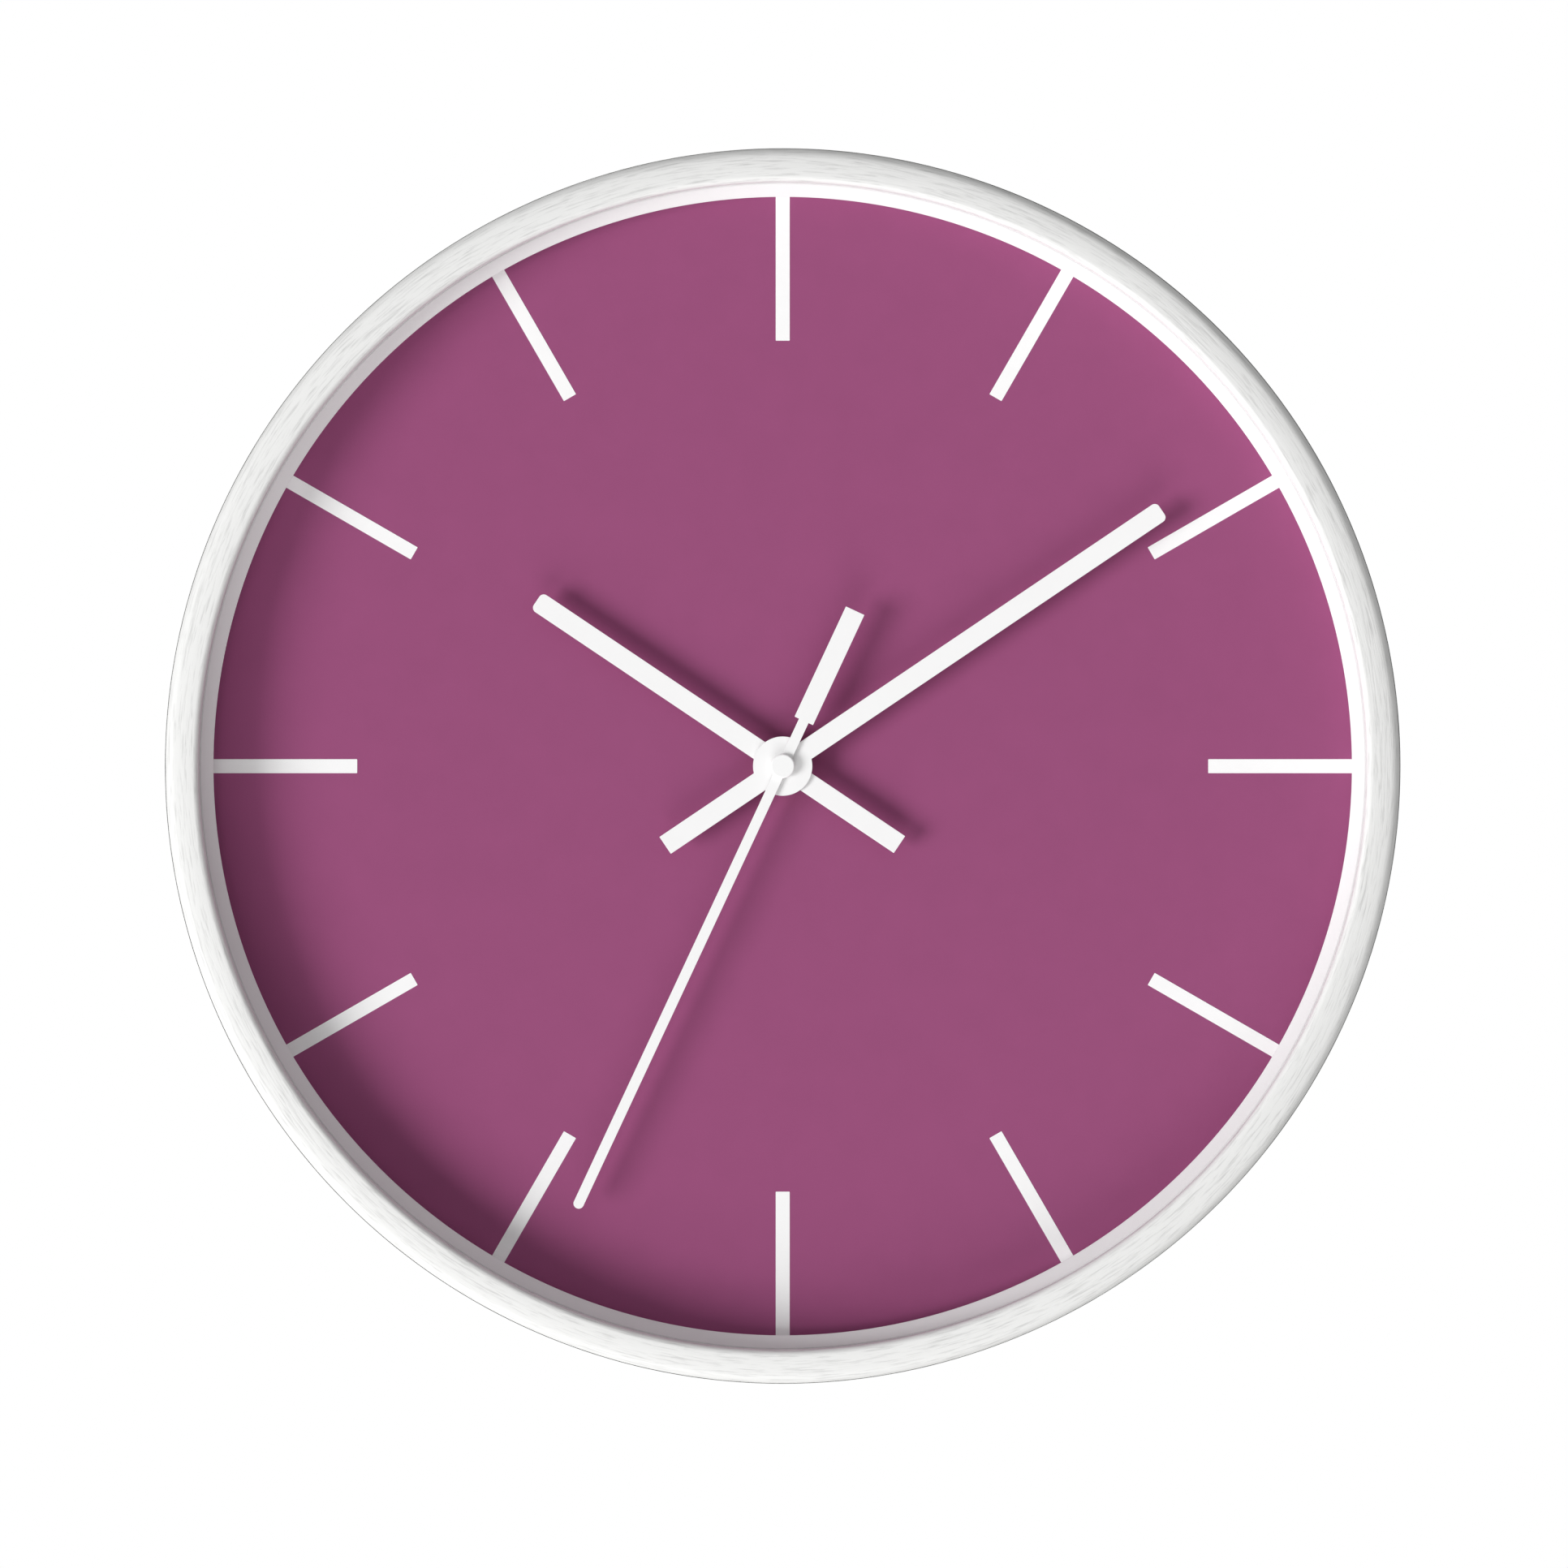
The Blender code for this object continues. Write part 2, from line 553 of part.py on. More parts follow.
def second_hand_outline(tip):
    """A thin bar with a rounded tip and a wide counterweight behind, pointing at 12."""
    half = SECOND_HAND_WIDTH / 2
    wide = SECOND_WEIGHT_WIDTH / 2
    step = SECOND_TAIL - SECOND_WEIGHT_LENGTH
    hub = CAP_RADIUS - RUNNING_FIT
    edge = math.degrees(math.asin(half / hub))
    outline = arc((0, tip - half), half, 0, 180, 6)
    outline += arc((0, 0), hub, 90 + edge, 270 - edge, 6)
    outline += [(-half, -step), (-wide, -step), (-wide, -SECOND_TAIL)]
    outline += [(wide, -SECOND_TAIL), (wide, -step), (half, -step)]
    outline += arc((0, 0), hub, 270 + edge, 450 - edge, 6)
    return outline


def build_hands(paint):
    """Hour hand below, minute hand above it, and the second hand with its boss on top."""
    hour_hole = circle(HOUR_PIPE_RADIUS + RUNNING_FIT)
    hour_outline = hand_outline(HOUR_HAND_WIDTH, DIAL_VISIBLE_RADIUS - HOUR_TIP_MARGIN, HOUR_TAIL)
    hour_front = HOUR_HAND_BACK + HAND_THICKNESS
    solid("hour_hand", [hour_outline, hour_hole], HOUR_HAND_BACK, hour_front, paint, turn=-HOUR_ANGLE)

    minute_hole = circle(MINUTE_PIPE_RADIUS + RUNNING_FIT)
    minute_tip = DIAL_VISIBLE_RADIUS - MINUTE_TIP_MARGIN
    minute_loops = [hand_outline(MINUTE_HAND_WIDTH, minute_tip, MINUTE_TAIL), minute_hole]
    solid("minute_hand", minute_loops, MINUTE_HAND_BACK, MINUTE_HAND_FRONT, paint, turn=-MINUTE_ANGLE)

    boss_hole = circle(BOSS_RADIUS + RUNNING_FIT, PIN_STEPS)
    second_tip = DIAL_VISIBLE_RADIUS - SECOND_TIP_MARGIN
    second_loops = [second_hand_outline(second_tip), boss_hole]
    solid("second_hand", second_loops, SECOND_HAND_BACK, SECOND_HAND_FRONT, paint, turn=-SECOND_ANGLE)
    bore = SECOND_ARBOR_RADIUS + RUNNING_FIT
    boss_back = MINUTE_HAND_FRONT + HAND_GAP / 2
    boss_profile = [
        (0, CAP_FRONT),
        (CAP_RADIUS, CAP_FRONT),
        (CAP_RADIUS, CAP_BACK),
        (BOSS_RADIUS, CAP_BACK),
        (BOSS_RADIUS, boss_back),
        (bore, boss_back),
        (bore, CAP_BACK),
        (0, CAP_BACK),
    ]
    turned("second_boss", boss_profile, False, paint)


def build_case(plastic):
    """The moulded case, open at the back: a room for the wheels above a bay for the battery."""
    outside = rectangle(
        -INNER_HALF - CASE_WALL, BAY_BOTTOM - CASE_WALL, INNER_HALF + CASE_WALL, CASE_TOP, CASE_CORNER
    )
    case = solid("movement_case", [outside], CASE_BACK, CASE_FRONT, plastic)
    behind = CASE_BACK - CASE_WALL
    room = rectangle(-INNER_HALF, ROOM_BOTTOM, INNER_HALF, ROOM_TOP)
    bay = rectangle(-BAY_HALF, BAY_BOTTOM, BAY_HALF, BAY_TOP)
    for name, outline in (("wheel_room", room), ("battery_bay", bay)):
        boolean(case, "DIFFERENCE", solid(name, [outline], behind, PLATE_INNER, plastic))
    hole_back = PLATE_INNER - CASE_WALL
    hole_front = CASE_FRONT + CASE_WALL
    hole = rod("case_bush_hole", BUSH_HOLE_RADIUS, hole_back, hole_front, plastic, ROUND_STEPS)
    boolean(case, "DIFFERENCE", hole)
    for name, left, width in (("left_notch", *contact_tab_left()), ("strip_notch", *contact_tab_strip())):
        low = BOARD_BACK - SEAT_GAP - 4 * CONTACT_THICKNESS - 2 * SEAT_GAP
        below = BAY_TOP - DIVIDER_THICKNESS
        above = ROOM_BOTTOM + DIVIDER_THICKNESS
        outline = rectangle(left - SEAT_GAP, below, left + width + SEAT_GAP, above)
        boolean(case, "DIFFERENCE", solid(name, [outline], low, BOARD_BACK, plastic))


def contact_tab_left():
    """Left side and width of the negative contact's tab through the divider."""
    return -BAY_HALF + SEAT_GAP, CONTACT_THICKNESS


def contact_tab_strip():
    """Left side and width of the positive contact's tab through the divider."""
    return -BAY_HALF + 2.5 * MM, 2 * MM


def build_covers(plastic):
    """The rear cover, with a bearing for each arbor, and the plate that the front pivots run in."""
    arbors = ((SHAFT, SECOND_ARBOR_RADIUS), (THIRD, ARBOR_RADIUS), (INTERMEDIATE, ARBOR_RADIUS))
    pivots = (*arbors, (ROTOR, ARBOR_RADIUS))
    edge = INNER_HALF - EDGE_GAP
    bottom = ROOM_BOTTOM + EDGE_GAP
    cover_outline = rectangle(-edge, bottom, edge, ROOM_TOP - EDGE_GAP)
    setting_hole = circle(SETTING_ARBOR_RADIUS + RUNNING_FIT, PIN_STEPS, SETTING)
    cover = solid("rear_cover", [cover_outline, setting_hole], COVER_BACK, COVER_FRONT, plastic)
    root = COVER_FRONT - COVER_THICKNESS / 2
    top = COVER_FRONT + BEARING_HEIGHT
    for i, (centre, radius) in enumerate(pivots):
        bore = radius + RUNNING_FIT
        bearing = ring(f"bearing_{i + 1}", BEARING_RADIUS, bore, root, top, plastic, PIN_STEPS, centre)
        boolean(cover, "UNION", bearing)

    plate_top = THIRD[1] + BEARING_RADIUS + 4 * ARBOR_RADIUS
    plate_outline = rectangle(-edge, bottom, edge, max(plate_top, ROTOR[1] + BEARING_RADIUS + COIL_RADIUS))
    holes = [circle(MINUTE_PIPE_RADIUS + RUNNING_FIT, ROUND_STEPS, SHAFT)]
    for centre, radius in pivots[1:] + ((SETTING, SETTING_ARBOR_RADIUS),):
        holes.append(circle(radius + RUNNING_FIT, PIN_STEPS, centre))
    loops = [plate_outline, *holes]
    plate = solid("middle_plate", loops, MIDDLE_PLATE_BACK, MIDDLE_PLATE_FRONT, plastic)
    post_back = STATOR_BACK + WHEEL_THICKNESS + SEAT_GAP
    post_front = MIDDLE_PLATE_BACK + MIDDLE_PLATE_THICKNESS / 2
    post_radius = STATOR_LEG / 2
    low_row = ROTOR[1] - MAGNET_RADIUS
    for i, x in enumerate((STATOR_LEFT + post_radius, STATOR_RIGHT - post_radius)):
        post = rod(f"post_{i + 1}", post_radius, post_back, post_front, plastic, PIN_STEPS, (x, low_row))
        boolean(plate, "UNION", post)


def arbor_piece(name, centre, radius, low, high, look, *gears):
    """An arbor with its gears moulded on it; each gear is an outline with the depth of its back."""
    piece = rod(name, radius, low, high, look, PIN_STEPS, centre)
    for i, (outline, back, thickness) in enumerate(gears):
        gear = solid(f"{name}_gear_{i + 1}", [outline], back, back + thickness, look, centre)
        boolean(piece, "UNION", gear)
    return piece


def pipe_piece(name, outer, inner, low, high, look, outline, back, thickness):
    """A pipe on the dial's axis with one gear moulded round it."""
    piece = ring(name, outer, inner, low, high, look)
    gear_hole = circle((outer + inner) / 2)
    gear = solid(f"{name}_gear", [outline, gear_hole], back, back + thickness, look)
    return boolean(piece, "UNION", gear)


def build_going_train(plastic, magnet):
    """Rotor, intermediate, seconds, third and centre wheels, from the motor to one turn an hour."""
    rear_end = COVER_FRONT + SEAT_GAP
    front_end = MIDDLE_PLATE_FRONT - SEAT_GAP
    rotor_pinion, intermediate = gear_pair(
        ROTOR_SPACING, PINION_TEETH, INTERMEDIATE_TEETH, ROTOR_DIRECTION + 180
    )
    intermediate_pinion, seconds = gear_pair(
        TRAIN_SPACING, PINION_TEETH, SECONDS_TEETH, INTERMEDIATE_DIRECTION + 180
    )
    seconds_pinion, third = gear_pair(TRAIN_SPACING, PINION_TEETH, THIRD_TEETH, THIRD_DIRECTION)
    third_pinion, centre = gear_pair(TRAIN_SPACING, PINION_TEETH, CENTRE_TEETH, THIRD_DIRECTION + 180)
    thick = WHEEL_THICKNESS
    rotor_gear = (rotor_pinion, LAYERS[0], thick)
    arbor_piece("rotor_pinion", ROTOR, ARBOR_RADIUS, rear_end, front_end, plastic, rotor_gear)
    magnet_back = STATOR_BACK + thick / 2 - MAGNET_THICKNESS / 2
    magnet_bore = ARBOR_RADIUS + RUNNING_FIT
    magnet_front = magnet_back + MAGNET_THICKNESS
    ring("rotor_magnet", MAGNET_RADIUS, magnet_bore, magnet_back, magnet_front, magnet, centre=ROTOR)
    gears = ((intermediate, LAYERS[0], thick), (intermediate_pinion, LAYERS[1], thick))
    arbor_piece("intermediate_wheel", INTERMEDIATE, ARBOR_RADIUS, rear_end, front_end, plastic, *gears)
    gears = ((seconds, LAYERS[1], thick), (seconds_pinion, LAYERS[2], thick))
    arbor_end = SECOND_HAND_FRONT
    arbor_piece("seconds_wheel", SHAFT, SECOND_ARBOR_RADIUS, rear_end, arbor_end, plastic, *gears)
    gears = ((third, LAYERS[2], thick), (third_pinion, LAYERS[3], thick))
    arbor_piece("third_wheel", THIRD, ARBOR_RADIUS, rear_end, front_end, plastic, *gears)
    bore = SECOND_ARBOR_RADIUS + RUNNING_FIT
    hub_back = LAYERS[3] - LAYER_GAP / 2
    hub_front = LAYERS[3] + thick
    centre_gear = (centre, LAYERS[3], thick)
    pipe_piece("centre_wheel", MINUTE_PIPE_RADIUS, bore, hub_back, hub_front, plastic, *centre_gear)


def build_motion_work(plastic):
    """Minute pipe, setting wheel with its knob, and hour wheel: twelve minute turns to one hour turn."""
    cannon, setting = gear_pair(SETTING_SPACING, CANNON_TEETH, SETTING_TEETH, SETTING_DIRECTION)
    setting_pinion, hour = gear_pair(
        SETTING_SPACING, PINION_TEETH, HOUR_TEETH, SETTING_DIRECTION + 180
    )
    thick = MOTION_THICKNESS
    minute_bore = SECOND_ARBOR_RADIUS + RUNNING_FIT
    minute_back = LAYERS[3] + WHEEL_THICKNESS + SEAT_GAP
    pipe_piece(
        "minute_pipe", MINUTE_PIPE_RADIUS, minute_bore, minute_back, MINUTE_HAND_FRONT, plastic,
        cannon, CANNON_BACK, thick,
    )
    hour_bore = MINUTE_PIPE_RADIUS + RUNNING_FIT
    hour_front = HOUR_HAND_BACK + HAND_THICKNESS
    pipe_piece(
        "hour_wheel", HOUR_PIPE_RADIUS, hour_bore, HOUR_WHEEL_BACK, hour_front, plastic,
        hour, HOUR_WHEEL_BACK, thick,
    )
    knob_front = COVER_BACK - SEAT_GAP
    knob_back = knob_front - KNOB_THICKNESS
    arbor_back = knob_back + KNOB_THICKNESS / 3
    gears = ((setting, CANNON_BACK, thick), (setting_pinion, HOUR_WHEEL_BACK, thick))
    arbor_front = PLATE_INNER - SEAT_GAP
    arbor_piece(
        "setting_wheel", SETTING, SETTING_ARBOR_RADIUS, arbor_back, arbor_front, plastic, *gears
    )
    ridge_module = 2 * KNOB_RADIUS / (KNOB_RIDGES + 2 * ADDENDUM)
    knob_outline = gear_outline(KNOB_RIDGES, ridge_module / 1.5, 0, PINION_TOOTH)
    widen = KNOB_RADIUS / math.hypot(*knob_outline[1])
    knob_outline = [(x * widen, y * widen) for x, y in knob_outline]
    knob = solid("set_knob", [knob_outline], knob_back, knob_front, plastic, SETTING)
    socket_back = arbor_back - SEAT_GAP
    socket_radius = SETTING_ARBOR_RADIUS + RUNNING_FIT
    socket_front = knob_front + SEAT_GAP
    socket = rod("knob_socket", socket_radius, socket_back, socket_front, plastic, PIN_STEPS, SETTING)
    boolean(knob, "DIFFERENCE", socket)


def build_motor(iron, plastic, copper):
    """The stator round the rotor, and the coil on the core that bridges the stator's legs."""
    leg_in = STATOR_LEFT + STATOR_LEG
    far_leg = STATOR_RIGHT - STATOR_LEG
    yoke_low = ROTOR[1] - MAGNET_RADIUS - AIR_GAP - STATOR_WEB
    yoke_high = ROTOR[1] + MAGNET_RADIUS + AIR_GAP + STATOR_WEB
    leg_top = COIL_Y + CORE_WIDTH * 0.75
    outline = [
        (STATOR_LEFT, yoke_low),
        (STATOR_RIGHT, yoke_low),
        (STATOR_RIGHT, leg_top),
        (far_leg, leg_top),
        (far_leg, yoke_high),
        (leg_in, yoke_high),
        (leg_in, leg_top),
        (STATOR_LEFT, leg_top),
    ]
    hole = circle(MAGNET_RADIUS + AIR_GAP, ROUND_STEPS, ROTOR)
    solid("stator_plate", [outline, hole], STATOR_BACK, STATOR_BACK + WHEEL_THICKNESS, iron)
    half_core = CORE_WIDTH / 2
    core = rectangle(STATOR_LEFT, COIL_Y - half_core, STATOR_RIGHT, COIL_Y + half_core)
    solid("coil_core", [core], CORE_BACK, CORE_BACK + WHEEL_THICKNESS, iron)

    end = COIL_LENGTH / 2 - SEAT_GAP
    flange = end - BOBBIN_FLANGE
    bobbin_profile = [
        (COIL_RADIUS, end),
        (COIL_RADIUS, flange),
        (BOBBIN_TUBE_RADIUS, flange),
        (BOBBIN_TUBE_RADIUS, -flange),
        (COIL_RADIUS, -flange),
        (COIL_RADIUS, -end),
        (BOBBIN_BORE_RADIUS, -end),
        (BOBBIN_BORE_RADIUS, end),
    ]
    middle = ((STATOR_LEFT + STATOR_RIGHT) / 2, COIL_Y)
    core_depth = CORE_BACK + WHEEL_THICKNESS / 2
    bobbin = turned("coil_bobbin", bobbin_profile, True, plastic, ROUND_STEPS, middle, core_depth)
    bobbin.rotation_euler = (0, math.pi / 2, 0)
    wound = flange - SEAT_GAP
    inner = BOBBIN_TUBE_RADIUS + RUNNING_FIT
    winding_profile = [
        (COIL_WINDING_RADIUS, wound),
        (COIL_WINDING_RADIUS, -wound),
        (inner, -wound),
        (inner, wound),
    ]
    winding = turned("coil_winding", winding_profile, True, copper, ROUND_STEPS, middle, core_depth)
    winding.rotation_euler = (0, math.pi / 2, 0)


def build_board(resin, epoxy, steel):
    """The circuit board on the front plate, with its chip and its quartz crystal."""
    left = -INNER_HALF + 2 * SEAT_GAP
    bottom = ROOM_BOTTOM + SEAT_GAP
    outline = rectangle(left, bottom, left + BOARD_WIDTH, bottom + BOARD_HEIGHT)
    solid("circuit_board", [outline], BOARD_BACK, BOARD_BACK + BOARD_THICKNESS, resin)
    parts_front = BOARD_BACK - SEAT_GAP
    chip_bottom = bottom + BOARD_HEIGHT - 2 * CHIP_SIDE
    chip_left = left + CRYSTAL_RADIUS
    chip = rectangle(chip_left, chip_bottom, chip_left + CHIP_SIDE, chip_bottom + CHIP_SIDE)
    solid("chip", [chip], parts_front - CHIP_SIDE / 4, parts_front, epoxy)
    crystal_place = (left + 6 * CRYSTAL_RADIUS, bottom + CRYSTAL_LENGTH)
    half = CRYSTAL_LENGTH / 2
    profile = [(0, half), (CRYSTAL_RADIUS, half), (CRYSTAL_RADIUS, -half), (0, -half)]
    crystal_depth = parts_front - CRYSTAL_RADIUS
    crystal = turned("quartz_crystal", profile, False, steel, PIN_STEPS, crystal_place, crystal_depth)
    crystal.rotation_euler = (math.pi / 2, 0, 0)


def build_contacts(steel):
    """A sprung plate at each end of the battery, with a tab through the divider to the board."""
    tab_front = BOARD_BACK - SEAT_GAP
    low = BAY_BOTTOM + 2 * CONTACT_THICKNESS
    high = BAY_TOP - 2 * SEAT_GAP
    plate_back = CASE_BACK + 2 * CASE_WALL
    tab_top = ROOM_BOTTOM + 2.5 * MM
    tab_back = tab_front - 4 * CONTACT_THICKNESS
    left, thick = contact_tab_left()
    right = -left - thick
    bump_length = CONTACT_ROOM - thick - 2 * SEAT_GAP

    negative = box("contact_negative", (left, low, plate_back), (left + thick, high, tab_front), steel)
    tab = box("negative_tab", (left, low + thick, tab_back), (left + thick, tab_top, tab_front), steel)
    boolean(negative, "UNION", tab, bump("negative_bump", left + thick / 2, bump_length, 1, steel))

    positive = box("contact_positive", (right, low, plate_back), (right + thick, high, tab_front), steel)
    strip_left, strip_width = contact_tab_strip()
    strip_low = (strip_left, high - thick, tab_back)
    strip = box("positive_strip", strip_low, (right + thick / 2, high, tab_front), steel)
    tab_low = (strip_left, high - thick / 2, tab_front - thick)
    tab = box("positive_tab", tab_low, (strip_left + strip_width, tab_top, tab_front), steel)
    boolean(positive, "UNION", strip, tab, bump("positive_bump", right + thick / 2, bump_length, -1, steel))


def box(name, low, high, look):
    """A box between two corners, as (x, y, depth)."""
    outline = rectangle(low[0], low[1], high[0], high[1])
    return solid(name, [outline], low[2], high[2], look)


def bump(name, x, length, side, look):
    """The round bump that presses on the battery's end."""
    height = length + CONTACT_THICKNESS / 2
    profile = [(0, height), (CONTACT_BUMP_RADIUS / 2, height), (CONTACT_BUMP_RADIUS, 0), (0, 0)]
    made = turned(name, profile, False, look, PIN_STEPS, (x, BATTERY_Y), BATTERY_DEPTH)
    made.rotation_euler = (0, side * math.pi / 2, 0)
    return made


def build_battery(wrapper, steel):
    """An AA cell, its button to the right."""
    radius = BATTERY_DIAMETER / 2
    end = BATTERY_LENGTH / 2
    button_start = end - BATTERY_BUTTON_LENGTH
    shoulder = button_start - SEAT_GAP
    soft = radius / 12
    profile = [(0, shoulder), (radius - soft, shoulder), (radius, shoulder - soft)]
    profile += [(radius, soft - end), (radius - soft, -end), (0, -end)]
    can = turned("battery_can", profile, False, wrapper, 32, (0, BATTERY_Y), BATTERY_DEPTH)
    can.rotation_euler = (0, math.pi / 2, 0)
    button_profile = [
        (0, end),
        (BATTERY_BUTTON_RADIUS, end),
        (BATTERY_BUTTON_RADIUS, button_start),
        (0, button_start),
    ]
    button = turned("battery_button", button_profile, False, steel, PIN_STEPS, (0, BATTERY_Y), BATTERY_DEPTH)
    button.rotation_euler = (0, math.pi / 2, 0)


def main():
    wood = material("white_painted_wood", (0.86, 0.86, 0.86), 0.5)
    acrylic = material("clear_acrylic", (0.95, 0.95, 0.95), 0.05)
    white_plastic = material("white_plastic", (0.84, 0.84, 0.84), 0.4)
    print_face = material("plum_print", (0.31, 0.08, 0.195), 0.6)
    hardboard = material("hardboard", (0.2, 0.1, 0.045), 0.8)
    brass = material("brass", (0.7, 0.5, 0.2), 0.3, 1.0)
    steel = material("zinc_plated_steel", (0.6, 0.6, 0.6), 0.35, 1.0)
    rubber = material("black_rubber", (0.02, 0.02, 0.02), 0.8)
    hand_paint = material("white_hand_paint", (0.9, 0.9, 0.9), 0.35)
    case_plastic = material("black_plastic", (0.015, 0.015, 0.016), 0.45)
    gear_plastic = material("white_acetal", (0.75, 0.74, 0.7), 0.4)
    magnet = material("ferrite_magnet", (0.04, 0.04, 0.042), 0.5)
    iron = material("soft_iron", (0.45, 0.45, 0.46), 0.4, 1.0)
    copper = material("enamelled_copper", (0.45, 0.16, 0.07), 0.3, 1.0)
    resin = material("green_circuit_resin", (0.02, 0.14, 0.06), 0.5)
    wrapper = material("battery_wrapper", (0.05, 0.05, 0.055), 0.3)
    build_frame(wood, steel)
    build_discs(acrylic, white_plastic, print_face, hardboard)
    build_fixings(brass, steel, rubber)
    build_hanger(steel)
    build_hands(hand_paint)
    build_case(case_plastic)
    build_covers(case_plastic)
    build_going_train(gear_plastic, magnet)
    build_motion_work(gear_plastic)
    build_motor(iron, case_plastic, copper)
    build_board(resin, case_plastic, steel)
    build_contacts(steel)
    build_battery(wrapper, steel)


main()
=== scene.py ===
"""Round wall clock: a white turned wooden frame, a plum dial with white bar marks, and its quartz movement.

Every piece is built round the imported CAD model. A place is given as x to the right, up from the dial's
centre, and depth out from the wall; at() turns it into the model's own axes, in which the dial faces -Y.
"""

import collections
import math

import bmesh
import bpy
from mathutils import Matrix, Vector


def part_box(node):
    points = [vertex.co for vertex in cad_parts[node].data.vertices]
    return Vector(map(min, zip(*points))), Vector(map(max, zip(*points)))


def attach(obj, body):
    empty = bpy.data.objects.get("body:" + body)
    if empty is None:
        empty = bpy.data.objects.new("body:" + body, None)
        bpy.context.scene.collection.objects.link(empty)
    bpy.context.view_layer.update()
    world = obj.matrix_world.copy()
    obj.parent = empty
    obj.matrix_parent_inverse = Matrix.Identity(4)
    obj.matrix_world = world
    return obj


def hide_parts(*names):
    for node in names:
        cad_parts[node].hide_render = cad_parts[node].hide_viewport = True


bl_info = {
    "name": "Round wall clock",
    "version": (1, 0, 0),
    "blender": (4, 5, 0),
    "location": "View3D > Sidebar > Wall clock",
    "description": "Builds a round wall clock with a wooden frame, three hands and a quartz movement",
    "category": "Add Mesh",
}

MM = 0.001
SNAP = 0.02 * MM  # how near a vertex has to be to a place to be the one that is meant
ROUND = 288  # sides of the large turned pieces
SMALL_ROUND = 96
SMOOTH_UNDER = math.radians(32)

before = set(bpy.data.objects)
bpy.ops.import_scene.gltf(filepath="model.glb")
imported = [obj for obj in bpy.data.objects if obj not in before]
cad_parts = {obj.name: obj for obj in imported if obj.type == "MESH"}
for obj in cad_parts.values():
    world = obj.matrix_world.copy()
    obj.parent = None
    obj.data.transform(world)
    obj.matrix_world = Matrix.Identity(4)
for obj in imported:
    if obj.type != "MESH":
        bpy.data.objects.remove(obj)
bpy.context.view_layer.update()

RING_LOW, RING_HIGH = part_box("frame")
DIAL_CENTRE = (RING_LOW + RING_HIGH) / 2
DIAL_CENTRE.y = 0.0

Span = collections.namedtuple("Span", "left right bottom top back front")


def span(node):
    """Where a CAD node lies: across and up from the dial's centre, and in depth from the wall."""
    low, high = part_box(node)
    across = (low.x - DIAL_CENTRE.x, high.x - DIAL_CENTRE.x)
    return Span(*across, low.z - DIAL_CENTRE.z, high.z - DIAL_CENTRE.z, -high.y, -low.y)


def middle_of(node):
    """Where a CAD node's middle lies, across and up from the dial's centre."""
    place = span(node)
    return (place.left + place.right) / 2, (place.bottom + place.top) / 2


def at(across, up, depth):
    """A point of the model's own axes, from its place on the clock."""
    return DIAL_CENTRE + Vector((across, -depth, up))


def linear(code):
    """An sRGB hex colour as the linear red, green, blue and alpha that Blender's sockets hold."""
    shares = [int(code[i : i + 2], 16) / 255 for i in (1, 3, 5)]
    return tuple(s / 12.92 if s <= 0.04045 else ((s + 0.055) / 1.055) ** 2.4 for s in shares) + (1.0,)


def features(size_mm):
    """The scale of a pattern, on coordinates in metres, whose features are this many millimetres across."""
    return 1000.0 / size_mm


# Sizes and colours that a user may change


def length(name, description, default):
    """A property for a size, given in metres."""
    return bpy.props.FloatProperty(
        name=name, description=description, default=default, min=0.0, unit="LENGTH", precision=5
    )


def colour(name, description, code):
    """A property for a paint or plastic colour."""
    return bpy.props.FloatVectorProperty(
        name=name, description=description, default=linear(code), size=4, subtype="COLOR", min=0, max=1
    )


def angle(name, description, degrees):
    """A property for an angle."""
    return bpy.props.FloatProperty(
        name=name, description=description, default=math.radians(degrees), unit="ROTATION"
    )


class CLOCK_PG_frame(bpy.types.PropertyGroup):
    rabbet: length("Rabbet radius", "Inside of the wall that holds lens and dial", 122.0 * MM)
    opening: length("Opening radius", "Inner edge of the front lip", 120.0 * MM)
    lip: length("Lip thickness", "Wood in front of the lens", 3.1 * MM)
    outer_rounding: length("Outer rounding", "Radius of the front outer edge", 2.0 * MM)
    inner_rounding: length("Inner rounding", "Radius of the lip's inner edge", 1.2 * MM)
    crown: length("Crown", "How far the face falls back towards its outer edge", 0.85 * MM)
    paint: colour("Frame paint", "White satin paint on the wood", "#EDEDEC")


class CLOCK_PG_dial(bpy.types.PropertyGroup):
    visible: length("Visible radius", "Inner edge of the spacer ring at the dial", 118.6 * MM)
    bevel: length("Spacer bevel", "How far its sloping face reaches in, and back from the lens", 2.4 * MM)
    mark_inner: length("Mark start", "Distance from the centre to a mark's inner end", 88.3 * MM)
    mark_width: length("Mark width", "Width of an hour mark", 2.9 * MM)
    ink_height: length("Ink height", "Thickness of the printed white ink", 0.04 * MM)
    ground: colour("Dial colour", "Plum ink on the dial", "#974C78")
    ink: colour("Mark colour", "White ink of the hour marks", "#FDFDFD")
    spacer: colour("Spacer colour", "White plastic of the spacer ring", "#F4F4F4")


